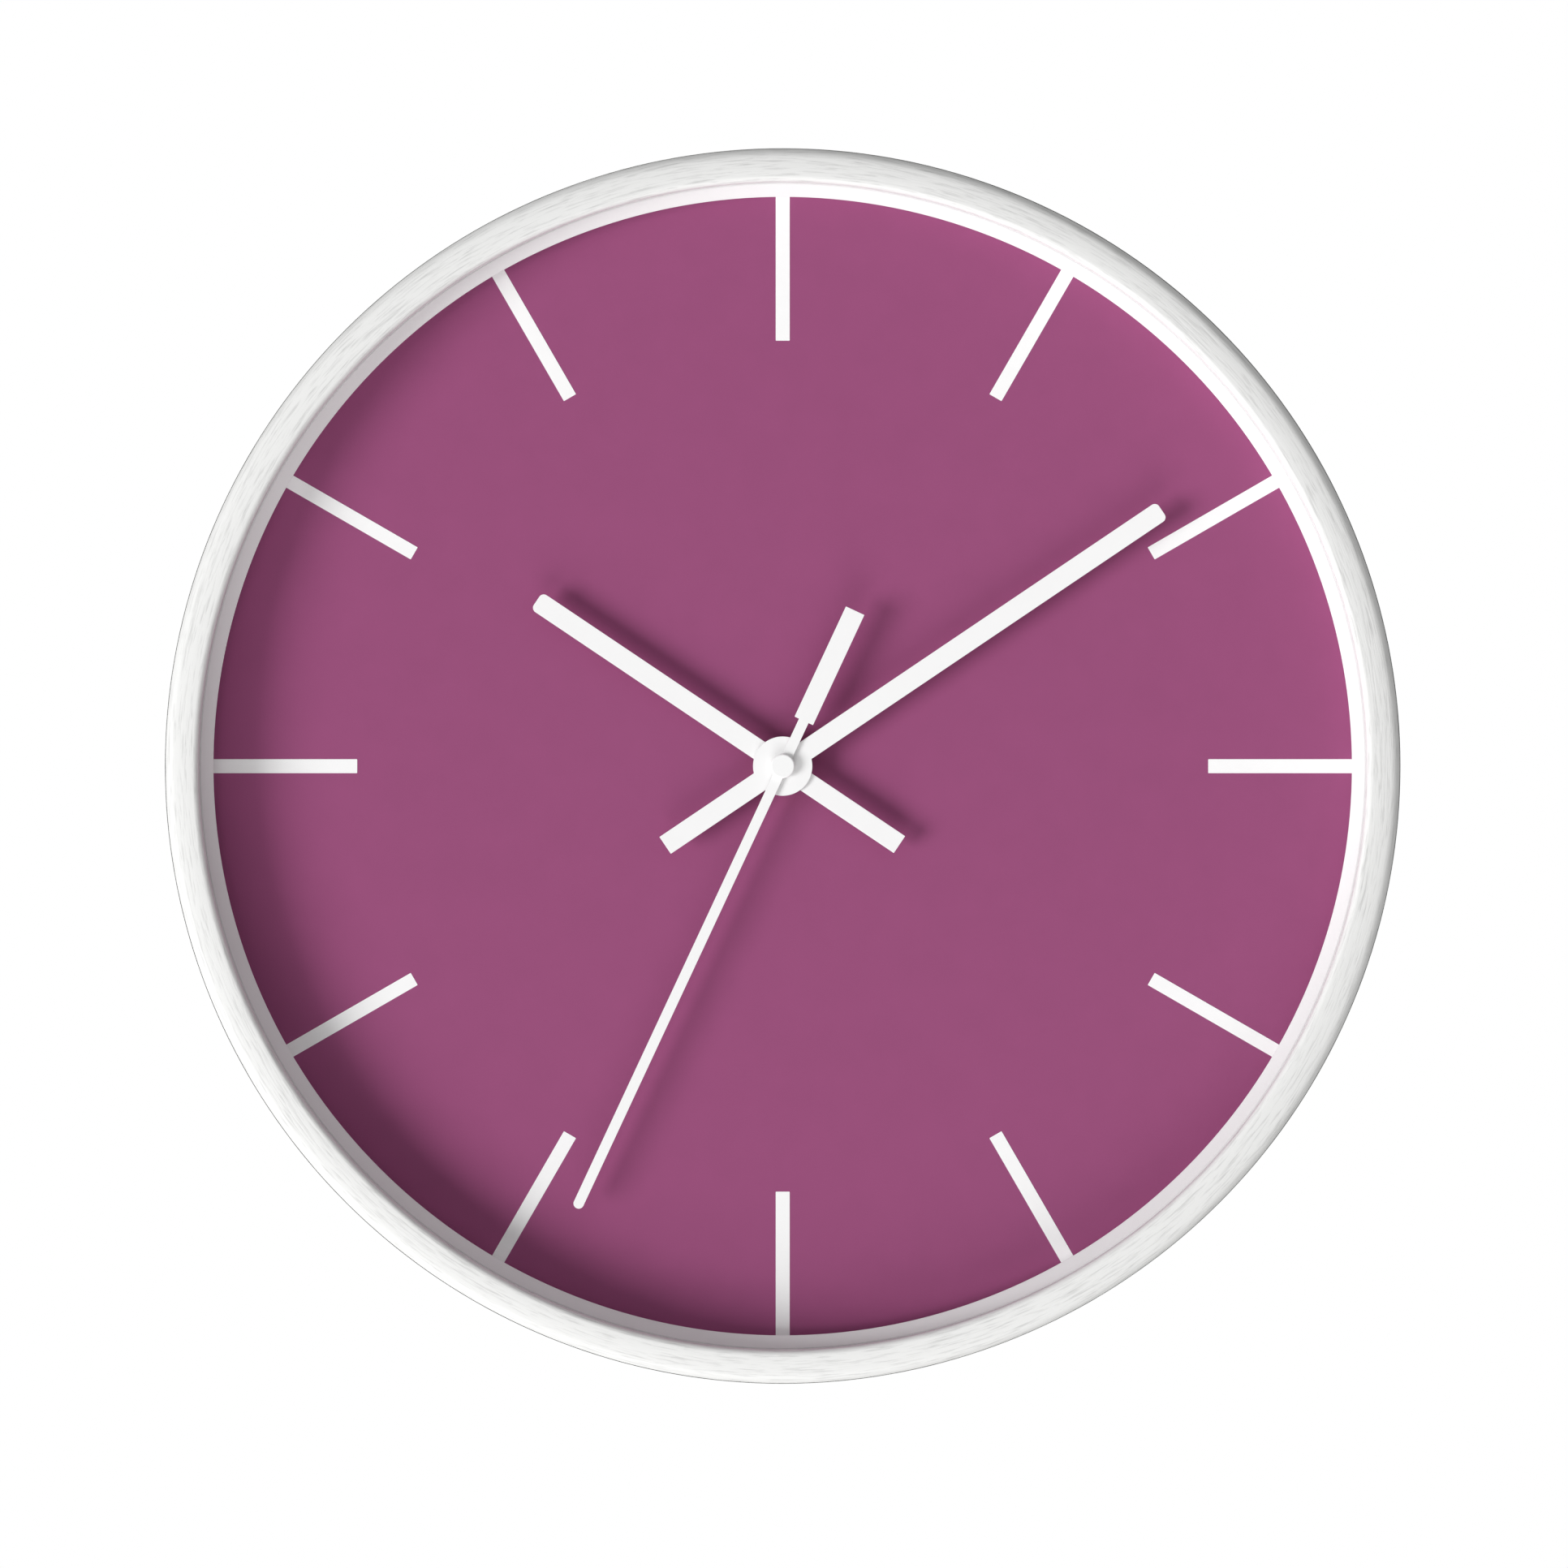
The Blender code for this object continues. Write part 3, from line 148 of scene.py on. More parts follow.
class CLOCK_PG_hands(bpy.types.PropertyGroup):
    hour_angle: angle("Hour hand", "Clockwise from 12", 303.9)
    minute_angle: angle("Minute hand", "Clockwise from 12", 56.0)
    second_angle: angle("Second hand", "Clockwise from 12", 205.0)
    hub: length("Hub radius", "Round middle of the hour and minute hands", 6.13 * MM)
    hour_width: length("Hour hand width", "Width of the bar", 4.22 * MM)
    hour_tip: length("Hour hand tip", "From the centre to the tip", 61.3 * MM)
    hour_tail: length("Hour hand tail", "From the centre to the tail's end", 29.1 * MM)
    minute_width: length("Minute hand width", "Width of the bar", 4.22 * MM)
    minute_tip: length("Minute hand tip", "From the centre to the tip", 94.5 * MM)
    minute_tail: length("Minute hand tail", "From the centre to the tail's end", 29.3 * MM)
    tip_rounding: length("Tip rounding", "Corner radius of the two wide hands", 1.1 * MM)
    second_width: length("Second hand width", "Width of the thin bar", 2.17 * MM)
    second_tip: length("Second hand tip", "From the centre to the tip", 100.7 * MM)
    weight_width: length("Counterweight width", "Wide part behind the centre", 4.21 * MM)
    weight_start: length("Counterweight start", "From the centre to its inner end", 10.3 * MM)
    weight_end: length("Counterweight end", "From the centre to its outer end", 35.4 * MM)
    enamel: colour("Hand enamel", "White stoving enamel on the hands", "#FBFBFB")


class CLOCK_PG_movement(bpy.types.PropertyGroup):
    hanger_sheet: length("Hanger sheet", "Thickness of the hanger's steel", 0.8 * MM)
    case_corner: length("Case corner", "Radius of the case's four corners", 3.0 * MM)
    case_wall: length("Case wall", "Thickness of the moulding", 1.2 * MM)


class CLOCK_PG_stage(bpy.types.PropertyGroup):
    distance: length("Camera distance", "From the front of the frame to the camera", 1200.0 * MM)
    view_width: length("View width", "What the picture takes in at the front of the frame", 321.8 * MM)
    above: length("Clock above middle", "How far the dial's centre stands above the picture's", 3.7 * MM)
    left: length("Clock left of middle", "How far it stands to the left", 0.27 * MM)
    side_share: bpy.props.FloatProperty(
        name="Side light", description="Its share of the light on the dial", default=0.425, subtype="FACTOR"
    )
    low_share: bpy.props.FloatProperty(
        name="Low light", description="Its share of the light on the dial", default=0.21, subtype="FACTOR"
    )
    room_share: bpy.props.FloatProperty(
        name="Room light", description="Share of the even light from all round", default=0.39, subtype="FACTOR"
    )


# Modelling by hand, in code


def start():
    """Leaves nothing selected, so that the next operator acts only on what it is given."""
    if bpy.context.mode != "OBJECT":
        bpy.ops.object.mode_set(mode="OBJECT")
    bpy.ops.object.select_all(action="DESELECT")


def focus(*pieces):
    """Selects these objects only; the first is the active one."""
    start()
    for piece in pieces:
        piece.select_set(True)
    bpy.context.view_layer.objects.active = pieces[0]


def named(name):
    """Names the object that an operator has just added, and its mesh."""
    made = bpy.context.object
    made.name = name
    made.data.name = name
    return made


def settle(piece):
    """Puts the piece's place, turn and scale into its mesh."""
    focus(piece)
    bpy.ops.object.transform_apply(location=True, rotation=True, scale=True)
    return piece


def edit(piece):
    focus(piece)
    bpy.ops.object.mode_set(mode="EDIT")


def leave():
    """Goes back to object mode."""
    bpy.ops.object.mode_set(mode="OBJECT")


def place_of(item):
    """The middle of a vertex, an edge or a face, as across, up and depth on the clock."""
    corners = [item.co] if isinstance(item, bmesh.types.BMVert) else [v.co for v in item.verts]
    middle = sum(corners, Vector()) / len(corners) - DIAL_CENTRE
    return middle.x, middle.z, -middle.y


def pick(kind, test):
    """In edit mode, selects only the vertices, edges or faces that pass the test."""
    bpy.ops.mesh.select_mode(type=kind)
    bpy.ops.mesh.select_all(action="DESELECT")
    work = bmesh.from_edit_mesh(bpy.context.object.data)
    items = {"VERT": work.verts, "EDGE": work.edges, "FACE": work.faces}[kind]
    found = [item for item in items if test(item)]
    for item in found:
        item.select_set(True)
    bmesh.update_edit_mesh(bpy.context.object.data)
    if not found:
        raise RuntimeError(f"nothing to select on {bpy.context.object.name}")


def length_of(edge):
    return (edge.verts[1].co - edge.verts[0].co).length


def close(value, target):
    return abs(value - target) < SNAP


def runs_along(edge, axis):
    """True for a straight edge that runs along this axis, 0, 1 or 2."""
    return abs(edge.verts[1].co[axis] - edge.verts[0].co[axis]) > 0.999 * length_of(edge)


def pull(across=0.0, up=0.0, back=0.0):
    """Extrudes what is selected by this much."""
    bpy.ops.mesh.extrude_region_move(TRANSFORM_OT_translate={"value": (across, back, up)})


def bevel(size, steps, affect="EDGES"):
    """Rounds what is selected."""
    bpy.ops.mesh.bevel(offset=size, segments=steps, affect=affect)


def merge_faces():
    """Takes out the edges between the faces of a flat section, which would turn into inner walls."""
    bpy.ops.mesh.select_all(action="SELECT")
    bpy.ops.mesh.dissolve_faces()


def smooth(piece):
    """Shades the curves smoothly and keeps the flats flat, right up to their rounded edges."""
    focus(piece)
    bpy.ops.object.shade_smooth_by_angle(angle=SMOOTH_UNDER)
    modifier = piece.modifiers.new("flat faces", "WEIGHTED_NORMAL")
    modifier.keep_sharp = True
    bpy.ops.object.modifier_apply(modifier=modifier.name)
    return piece


def section(name, inner, outer, back, front):
    """A flat rectangle beside the dial's axis, left in edit mode, to be shaped and then turned."""
    start()
    bpy.ops.mesh.primitive_plane_add(size=1, location=at((inner + outer) / 2, 0, (back + front) / 2))
    made = named(name)
    made.scale = (outer - inner, front - back, 1)
    settle(made)
    edit(made)
    return made


def round_corner(radius, depth, size, steps):
    """Rounds one corner of a section."""
    pick("VERT", lambda v: close(place_of(v)[0], radius) and close(place_of(v)[2], depth))
    bevel(size, steps, "VERTICES")


def turn(steps=ROUND):
    """Spins the section in edit mode once round the dial's axis and closes it into a smooth solid."""
    bpy.ops.mesh.select_all(action="SELECT")
    bpy.ops.mesh.delete(type="ONLY_FACE")
    bpy.ops.mesh.select_all(action="SELECT")
    bpy.ops.mesh.spin(steps=steps, angle=2 * math.pi, center=DIAL_CENTRE, axis=(0, 1, 0))
    bpy.ops.mesh.select_all(action="SELECT")
    bpy.ops.mesh.remove_doubles(threshold=SNAP / 20)
    bpy.ops.mesh.normals_make_consistent(inside=False)
    leave()
    smooth(bpy.context.object)


def turned_plate(name, inner, node, edge):
    """A round plate with a hole, as thick and as wide as the node, its four edges a little rounded."""
    plate = span(node)
    piece = section(name, inner, (plate.right - plate.left) / 2, plate.back, plate.front)
    for radius in (inner, (plate.right - plate.left) / 2):
        for depth in (plate.back, plate.front):
            round_corner(radius, depth, edge, 3)
    turn()
    return piece


def block(name, left, right, bottom, top, back, front):
    """A box between these limits."""
    start()
    middle = at((left + right) / 2, (bottom + top) / 2, (back + front) / 2)
    bpy.ops.mesh.primitive_cube_add(size=1, location=middle)
    made = named(name)
    made.scale = (right - left, front - back, top - bottom)
    return settle(made)


def disc(name, radius, back, front, across=0.0, up=0.0, sides=SMALL_ROUND):
    """A round plate that faces the front."""
    start()
    middle = at(across, up, (back + front) / 2)
    bpy.ops.mesh.primitive_cylinder_add(
        vertices=sides, radius=radius, depth=front - back, location=middle, rotation=(math.pi / 2, 0, 0)
    )
    return settle(named(name))


def combine(piece, operation, *others):
    """Joins or cuts the piece with each other object, which is used up."""
    for other in others:
        modifier = piece.modifiers.new(operation.lower(), "BOOLEAN")
        modifier.operation = operation
        modifier.solver = "EXACT"
        modifier.object = other
        focus(piece)
        bpy.ops.object.modifier_apply(modifier=modifier.name)
        bpy.data.objects.remove(other, do_unlink=True)
    edit(piece)
    bpy.ops.mesh.select_all(action="SELECT")
    bpy.ops.mesh.remove_doubles(threshold=SNAP / 20)
    bpy.ops.mesh.dissolve_limited(angle_limit=math.radians(0.5))
    leave()
    return piece


def soften(piece, width, segments=2, sharper_than=30):
    """Rounds every sharp edge a little, as moulding, painting and handling do."""
    modifier = piece.modifiers.new("soft edges", "BEVEL")
    modifier.width = width
    modifier.segments = segments
    modifier.limit_method = "ANGLE"
    modifier.angle_limit = math.radians(sharper_than)
    modifier.harden_normals = False
    focus(piece)
    bpy.ops.object.modifier_apply(modifier=modifier.name)
    return smooth(piece)


def turned_by(piece, clockwise):
    """Turns the piece round the dial's axis, clockwise as seen from the front."""
    focus(piece)
    # With no window open, the operator turns the other way.
    bpy.ops.transform.rotate(value=-clockwise, orient_axis="Y", center_override=DIAL_CENTRE)
    return settle(piece)


def copy_of(piece):
    """A copy with a mesh of its own."""
    focus(piece)
    bpy.ops.object.duplicate()
    return bpy.context.object


def join(name, *pieces):
    focus(*pieces)
    if len(pieces) > 1:
        bpy.ops.object.join()
    return named(name)


def fit(piece, finish, slot, body, *nodes):
    """Gives a finished piece its material and its body, and hides the CAD nodes that it stands for. The slot is
    not used.
    """
    piece.data.materials.clear()
    piece.data.materials.append(finish)
    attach(piece, body)
    if nodes:
        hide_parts(*nodes)
    return piece


# Materials


def add(tree, kind, settings):
    """Adds a node and sets its properties and inputs by name or number; an output given is linked."""
    made = tree.nodes.new(kind)
    for key, value in settings.items():
        if isinstance(value, bpy.types.NodeSocket):
            tree.links.new(value, made.inputs[key])
        elif isinstance(key, str) and hasattr(made, key):
            setattr(made, key, value)
        else:
            made.inputs[key].default_value = value
    return made


def surface(name, **sockets):
    """A new material with one Principled shader; underscores in a socket's name stand for spaces."""
    made = bpy.data.materials.new(name)
    made.use_nodes = True
    tree = made.node_tree
    shader = tree.nodes["Principled BSDF"]
    for key, value in sockets.items():
        shader.inputs[key.replace("_", " ")].default_value = value
    return made, tree, shader, add(tree, "ShaderNodeTexCoord", {}).outputs["Object"]


def noise(tree, places, size_mm, detail=2.0, **more):
    """A noise whose features are this many millimetres across."""
    settings = {"Scale": features(size_mm), "Detail": detail, "Vector": places, **more}
    return add(tree, "ShaderNodeTexNoise", settings).outputs["Fac"]


def calc(tree, operation, first, second):
    """Arithmetic on two values, each a number or another node's output."""
    return add(tree, "ShaderNodeMath", {"operation": operation, 0: first, 1: second}).outputs["Value"]


def spread(tree, value, low, high, to_low, to_high):
    """The value's range from low to high, stretched to another range."""
    limits = {"From Min": low, "From Max": high, "To Min": to_low, "To Max": to_high}
    return add(tree, "ShaderNodeMapRange", {**limits, "Value": value}).outputs["Result"]


def tint(tree, shader, value, dark, light, low=0.0, high=1.0):
    """Colours the shader from dark, where the value is low, to light, where it is high."""
    made = add(tree, "ShaderNodeValToRGB", {"Fac": value})
    for element, place, tone in zip(made.color_ramp.elements, (low, high), (dark, light)):
        element.position = place
        element.color = tone
    tree.links.new(made.outputs["Color"], shader.inputs["Base Color"])


def relief(tree, shader, height, strength, depth_mm, **under):
    """Raises the shader's surface where the height is great."""
    settings = {"Strength": strength, "Distance": depth_mm * MM, "Height": height, **under}
    made = add(tree, "ShaderNodeBump", settings)
    tree.links.new(made.outputs["Normal"], shader.inputs["Normal"])


def shaded(tone, share):
    """The same colour, darker or lighter by this share."""
    return [min(1.0, c * share) for c in tone[:3]] + [1.0]


def painted_wood(paint):
    """Beech turned to a ring and sprayed with two coats of white satin paint. The paint is thin, so the
    long pores still show as fine streaks that follow the ring, and catch the light as ridges."""
    made, tree, shader, places = surface(
        "white_painted_beech", Roughness=0.5, IOR=1.48, Specular_IOR_Level=0.35
    )
    grain_mm = 0.35  # beech pores are 0.1 mm wide; drawn coarser, as the paint spreads them
    streaks = 20.0  # pore lengths in one radian of the ring
    centred = add(
        tree, "ShaderNodeMapping", {"vector_type": "POINT", "Location": -DIAL_CENTRE, "Vector": places}
    ).outputs["Vector"]
    parts = add(tree, "ShaderNodeSeparateXYZ", {"Vector": centred}).outputs
    flat = add(tree, "ShaderNodeCombineXYZ", {"X": parts["X"], "Z": parts["Z"]}).outputs["Vector"]
    radius = add(tree, "ShaderNodeVectorMath", {"operation": "LENGTH", 0: flat}).outputs["Value"]
    heading = add(tree, "ShaderNodeVectorMath", {"operation": "NORMALIZE", 0: flat}).outputs["Vector"]
    drawn = add(
        tree, "ShaderNodeVectorMath", {"operation": "SCALE", "Scale": streaks, 0: heading}
    ).outputs["Vector"]
    along = add(tree, "ShaderNodeSeparateXYZ", {"Vector": drawn}).outputs
    across = calc(tree, "MULTIPLY", radius, features(grain_mm))
    depth = calc(tree, "MULTIPLY", parts["Y"], features(grain_mm))
    spot = add(tree, "ShaderNodeCombineXYZ", {"X": along["X"], "Y": across, "Z": along["Z"]})
    settings = {"noise_dimensions": "4D", "Scale": 1.0, "Detail": 3.0, "Roughness": 0.62, "Distortion": 0.25}
    spot = {"Vector": spot.outputs["Vector"], "W": depth}
    pores = add(tree, "ShaderNodeTexNoise", {**settings, **spot}).outputs["Fac"]
    strength = spread(tree, noise(tree, centred, 45), 0.35, 0.65, 0.15, 1.0)
    ridges = calc(tree, "MULTIPLY", pores, strength)
    spray = calc(tree, "MULTIPLY", noise(tree, centred, 1.3), 0.12)
    relief(tree, shader, calc(tree, "ADD", spray, ridges), 1.0, 0.09)
    tint(tree, shader, pores, shaded(paint, 0.74), shaded(paint, 1.0), 0.28, 0.5)
    return made


def mottled(name, light, dark, size_mm, bump_mm, bump_size_mm, **sockets):
    """A moulded, cast or printed surface: two near colours in soft patches over a fine relief."""
    made, tree, shader, places = surface(name, **sockets)
    tint(tree, shader, noise(tree, places, size_mm, 4.0, Roughness=0.6), dark, light, 0.35, 0.65)
    relief(tree, shader, noise(tree, places, bump_size_mm, 3.0), 0.5, bump_mm)
    return made


def plated(name, code, roughness, grain_mm, stretch=(1, 1, 1)):
    """Bare or plated metal: its roughness wanders in smears, and fine rolling lines break its glints."""
    made, tree, shader, places = surface(name, Base_Color=linear(code), Metallic=1.0, Roughness=roughness)
    drawn = add(tree, "ShaderNodeMapping", {"vector_type": "POINT", "Scale": stretch, "Vector": places})
    smears = noise(tree, places, 5.0, 3.0)
    gloss = spread(tree, smears, 0.3, 0.7, roughness - 0.08, roughness + 0.1)
    tree.links.new(gloss, shader.inputs["Roughness"])
    relief(tree, shader, noise(tree, drawn.outputs["Vector"], grain_mm, 3.0), 0.25, 0.01)
    return made


def shared(name, make):
    """The material of this name, made the first time that it is asked for."""
    return bpy.data.materials.get(name) or make(name)


def zinc_plated_steel():
    """Pressed strip, bright zinc plated: pale blue-grey, with the lines of the rolling mill."""
    return shared("bright_zinc_plate", lambda name: plated(name, "#B9BDC2", 0.34, 0.2, (1, 1, 7)))


def nickel_plate():
    """Nickel-plated spring strip: warm grey and fairly bright."""
    return shared("nickel_plate", lambda name: plated(name, "#C6C2B8", 0.24, 0.2, (7, 1, 1)))


def black_abs():
    """ABS moulded in a spark-eroded tool: black, with a fine even grain that keeps it dull."""
    return shared("black_moulded_abs", lambda name: moulded(name, "#1B1C1E", 0.5))


def screen(tree, places, size_mm, distortion, direction, **more):
    """Parallel ridges this far apart."""
    settings = {"bands_direction": direction, "Scale": features(size_mm) / 20, "Distortion": distortion}
    return add(tree, "ShaderNodeTexWave", {**settings, "Vector": places, **more}).outputs["Fac"]


def hardboard():
    """Wood fibre pressed wet on a wire screen: brown with darker fibres, and a woven print on its back."""
    brown, fibre = linear("#8A6242"), linear("#6E4A30")
    made = mottled("screen_backed_hardboard", brown, fibre, 1.6, 0.12, 0.5, Roughness=0.86, IOR=1.4)
    tree = made.node_tree
    shader = tree.nodes["Principled BSDF"]
    places = add(tree, "ShaderNodeTexCoord", {}).outputs["Object"]
    wires = [screen(tree, places, 1.6, 0.6, axis, Detail=1.0) for axis in ("X", "Z")]
    under = shader.inputs["Normal"].links[0].from_socket
    relief(tree, shader, calc(tree, "MULTIPLY", *wires), 0.6, 0.15, Normal=under)
    return made


def moulded(name, code, roughness=0.45, dark=0.9):
    """Injection-moulded plastic: an even colour, slightly clouded, over the texture of a blasted tool."""
    tone = linear(code)
    return mottled(name, tone, shaded(tone, dark), 6.0, 0.02, 0.25, Roughness=roughness, IOR=1.5)


def wound_copper():
    """Enamelled copper wire in close turns: each turn is a ridge with a painted highlight along it and a
    painted shadow as a dark line beside it.
    """
    made, tree, shader, places = surface(
        "enamelled_copper_wire", Metallic=1.0, Roughness=0.32, Coat_Weight=0.6, Coat_Roughness=0.1
    )
    turn_mm = 0.25  # the wire is 0.03 mm thick; drawn coarser, so that the turns can be seen
    ridge_height_and_painted_light = screen(tree, places, turn_mm, 0.4, "X")
    # The tint is painted light: darker as painted shade in the groove between turns, lighter as a painted
    # highlight on each ridge.
    tint(tree, shader, ridge_height_and_painted_light, linear("#7A2F16"), linear("#C8693A"))
    relief(tree, shader, ridge_height_and_painted_light, 0.6, 0.05)
    return made


def cell_sleeve(band_start):
    """The cell's shrunk PVC sleeve: glossy near-black, with a plain grey band at the positive end."""
    made, tree, shader, places = surface("printed_pvc_sleeve", Roughness=0.28, IOR=1.53, Coat_Weight=0.3)
    parts = add(tree, "ShaderNodeSeparateXYZ", {"Vector": places}).outputs
    past = calc(tree, "GREATER_THAN", parts["X"], band_start)
    tint(tree, shader, past, linear("#23262B"), linear("#A9ADB0"))
    relief(tree, shader, noise(tree, places, 3.0), 0.3, 0.02)
    return made


def printed_paper(ground):
    """Uncoated card printed plum in offset: matt, with the paper's fibres just showing in the ink."""
    return mottled(
        "plum_printed_card", shaded(ground, 1.015), shaded(ground, 0.985), 9.0, 0.02, 0.35,
        Roughness=0.72, IOR=1.45, Specular_IOR_Level=0.25,
    )


def clear_acrylic():
    """Cast acrylic with a low-glare face: it lets all light through and only glints at a low angle."""
    made = bpy.data.materials.new("low_glare_acrylic")
    made.use_nodes = True
    tree = made.node_tree
    tree.nodes.clear()
    through = add(tree, "ShaderNodeBsdfTransparent", {"Color": (1.0, 1.0, 1.0, 1.0)})
    gloss = add(tree, "ShaderNodeBsdfGlossy", {"Color": (1.0, 1.0, 1.0, 1.0), "Roughness": 0.12})
    glance = add(tree, "ShaderNodeFresnel", {"IOR": 1.12}).outputs["Fac"]
    inside = add(tree, "ShaderNodeNewGeometry", {}).outputs["Backfacing"]
    share = calc(tree, "MULTIPLY", glance, calc(tree, "SUBTRACT", 1.0, inside))
    mix = {"Fac": share, 1: through.outputs["BSDF"], 2: gloss.outputs["BSDF"]}
    both = add(tree, "ShaderNodeMixShader", mix).outputs["Shader"]
    add(tree, "ShaderNodeOutputMaterial", {"Surface": both})
    return made


def enamelled(paint):
    """Aluminium strip blanked to shape and stove-enamelled white: smooth, faintly orange-peeled."""
    return mottled("white_stoved_enamel", paint, shaded(paint, 0.99), 6.0, 0.012, 0.9, Roughness=0.34, IOR=1.5)


# Operators, one for each piece or group of like pieces


class CLOCK_OT_frame(bpy.types.Operator):
    """Turns the wooden ring: wall, lip, rounded outer edge and slightly crowned face"""

    bl_idname = "wall_clock.frame"
    bl_label = "Wooden frame"

    def execute(self, context):
        size = context.scene.clock_frame
        ring = span("frame")
        lip_back = ring.front - size.lip
        piece = section("frame_ring", size.rabbet, ring.right, ring.back, ring.front)
        bpy.ops.mesh.bisect(plane_co=at(0, 0, lip_back), plane_no=(0, 1, 0))
        pick("EDGE", lambda e: close(place_of(e)[0], size.rabbet) and place_of(e)[2] > lip_back)
        pull(across=size.opening - size.rabbet)
        merge_faces()
        round_corner(size.opening, ring.front, size.inner_rounding, 8)
        round_corner(ring.right, ring.front, size.outer_rounding, 10)
        round_corner(ring.right, ring.back, 1.0 * MM, 5)
        round_corner(size.rabbet, ring.back, 0.3 * MM, 3)
        pick("EDGE", lambda e: length_of(e) > 1.5 * MM)
        bpy.ops.mesh.subdivide(number_cuts=7)
        crown_start = size.opening + size.inner_rounding
        work = bmesh.from_edit_mesh(piece.data)
        face = [place_of(v) for v in work.verts]
        face = [p for p in face if p[0] > crown_start + SNAP and p[2] > ring.front - size.outer_rounding]
        for across, up, depth in face:
            fall = size.crown * ((across - crown_start) / (ring.right - crown_start)) ** 2
            pick("VERT", lambda v: close(place_of(v)[0], across) and close(place_of(v)[2], depth))
            bpy.ops.transform.translate(value=(0, fall, 0))
        turn()
        fit(piece, painted_wood(size.paint), "frame", "clock_body", "frame")
        return {"FINISHED"}


class CLOCK_OT_spacer(bpy.types.Operator):
    """Turns the white ring between the dial and the lens, with its face sloping at 45 degrees"""

    bl_idname = "wall_clock.spacer"
    bl_label = "Spacer ring"

    def execute(self, context):
        inside, dial = context.scene.clock_frame, context.scene.clock_dial
        ring = span("spacer_ring")
        foot = ring.front - dial.bevel
        piece = section("spacer_band", inside.opening, ring.right, ring.back, ring.front)
        bpy.ops.mesh.bisect(plane_co=at(0, 0, foot), plane_no=(0, 1, 0))
        for depth, reach in ((ring.back, dial.visible), (foot, inside.opening - dial.bevel)):
            pick("VERT", lambda v: close(place_of(v)[0], inside.opening) and close(place_of(v)[2], depth))
            bpy.ops.transform.translate(value=(reach - inside.opening, 0, 0))
        merge_faces()
        round_corner(inside.opening - dial.bevel, foot, 0.15 * MM, 3)
        turn()
        # Polystyrene moulded in a blasted tool: matt white, so that it does not mirror the dial.
        finish = mottled(
            "matt_white_styrene", dial.spacer, shaded(dial.spacer, 0.98), 14.0, 0.01, 1.2,
            Roughness=0.9, IOR=1.5, Specular_IOR_Level=0.08,
        )
        fit(piece, finish, "spacer", "clock_body", "spacer_ring")
        return {"FINISHED"}


class CLOCK_OT_lens(bpy.types.Operator):
    """Cuts the clear disc that covers the dial and eases its rim"""

    bl_idname = "wall_clock.lens"
    bl_label = "Lens"

    def execute(self, context):
        plate = span("lens")
        piece = disc("lens_disc", plate.right, plate.back, plate.front, sides=ROUND)
        soften(piece, 0.2 * MM)
        fit(piece, clear_acrylic(), "lens", "clock_body", "lens")
        return {"FINISHED"}


class CLOCK_OT_dial(bpy.types.Operator):
    """Makes the printed dial, with the hole for the bush"""

    bl_idname = "wall_clock.dial"
    bl_label = "Dial"

    def execute(self, context):
        sheet, bush = span("dial"), span("threaded_bush")
        hole = (bush.right - bush.left) / 3
        piece = section("dial_sheet", hole, sheet.right, sheet.back, sheet.front)
        round_corner(hole, sheet.front, 0.1 * MM, 2)
        turn()
        fit(piece, printed_paper(context.scene.clock_dial.ground), "dial", "clock_body", "dial")
        return {"FINISHED"}


class CLOCK_OT_marks(bpy.types.Operator):
    """Prints twelve white hour marks, which run out under the spacer ring"""

    bl_idname = "wall_clock.marks"
    bl_label = "Hour marks"

    def execute(self, context):
        size = context.scene.clock_dial
        sheet = span("dial")
        outer = (size.visible + sheet.right) / 2
        half = size.mark_width / 2
        front = sheet.front + size.ink_height
        mark = block("mark", -half, half, size.mark_inner, outer, sheet.front - size.ink_height, front)
        edit(mark)
        pick("EDGE", lambda e: runs_along(e, 1) and close(place_of(e)[1], size.mark_inner))
        bevel(0.12 * MM, 3)
        leave()
        marks = [turned_by(copy_of(mark), math.radians(30 * i)) for i in range(1, 12)]
        piece = join("hour_marks", mark, *marks)
        smooth(piece)
        finish = mottled(
            "white_screen_ink", size.ink, shaded(size.ink, 0.985), 2.5, 0.012, 0.3, Roughness=0.6, IOR=1.5
        )
        fit(piece, finish, "dial", "clock_body")
        return {"FINISHED"}


def hand_bar(name, width, tip, tail, rounding, back, front):
    """A hand's straight bar, its tip's corners rounded, up the dial's middle."""
    bar = block(name, -width / 2, width / 2, -tail, tip, back, front)
    edit(bar)
    pick("EDGE", lambda e: runs_along(e, 1) and close(place_of(e)[1], tip))
    bevel(rounding, 8)
    leave()
    return bar


class CLOCK_OT_wide_hands(bpy.types.Operator):
    """Blanks the hour hand and the minute hand, each a bar through a round hub on its pipe"""

    bl_idname = "wall_clock.wide_hands"
    bl_label = "Hour and minute hands"

    def execute(self, context):
        size = context.scene.clock_hands
        hour = (size.hour_width, size.hour_tip, size.hour_tail, size.hour_angle, 2.65 * MM)
        minute = (size.minute_width, size.minute_tip, size.minute_tail, size.minute_angle, 1.75 * MM)
        for word, (width, tip, tail, heading, bore) in (("hour", hour), ("minute", minute)):
            node = word + "_hand"
            plate = span(node)
            piece = hand_bar(word + "_hand_bar", width, tip, tail, size.tip_rounding, plate.back, plate.front)
            hub = disc("hub", size.hub, plate.back, plate.front)
            bush = disc("bore", bore, plate.back - MM, plate.front + MM, sides=48)
            combine(piece, "UNION", hub)
            combine(piece, "DIFFERENCE", bush)
            soften(piece, 0.07 * MM)
            turned_by(piece, heading)
            fit(piece, enamelled(size.enamel), "hands", node + "_set", node)
        return {"FINISHED"}


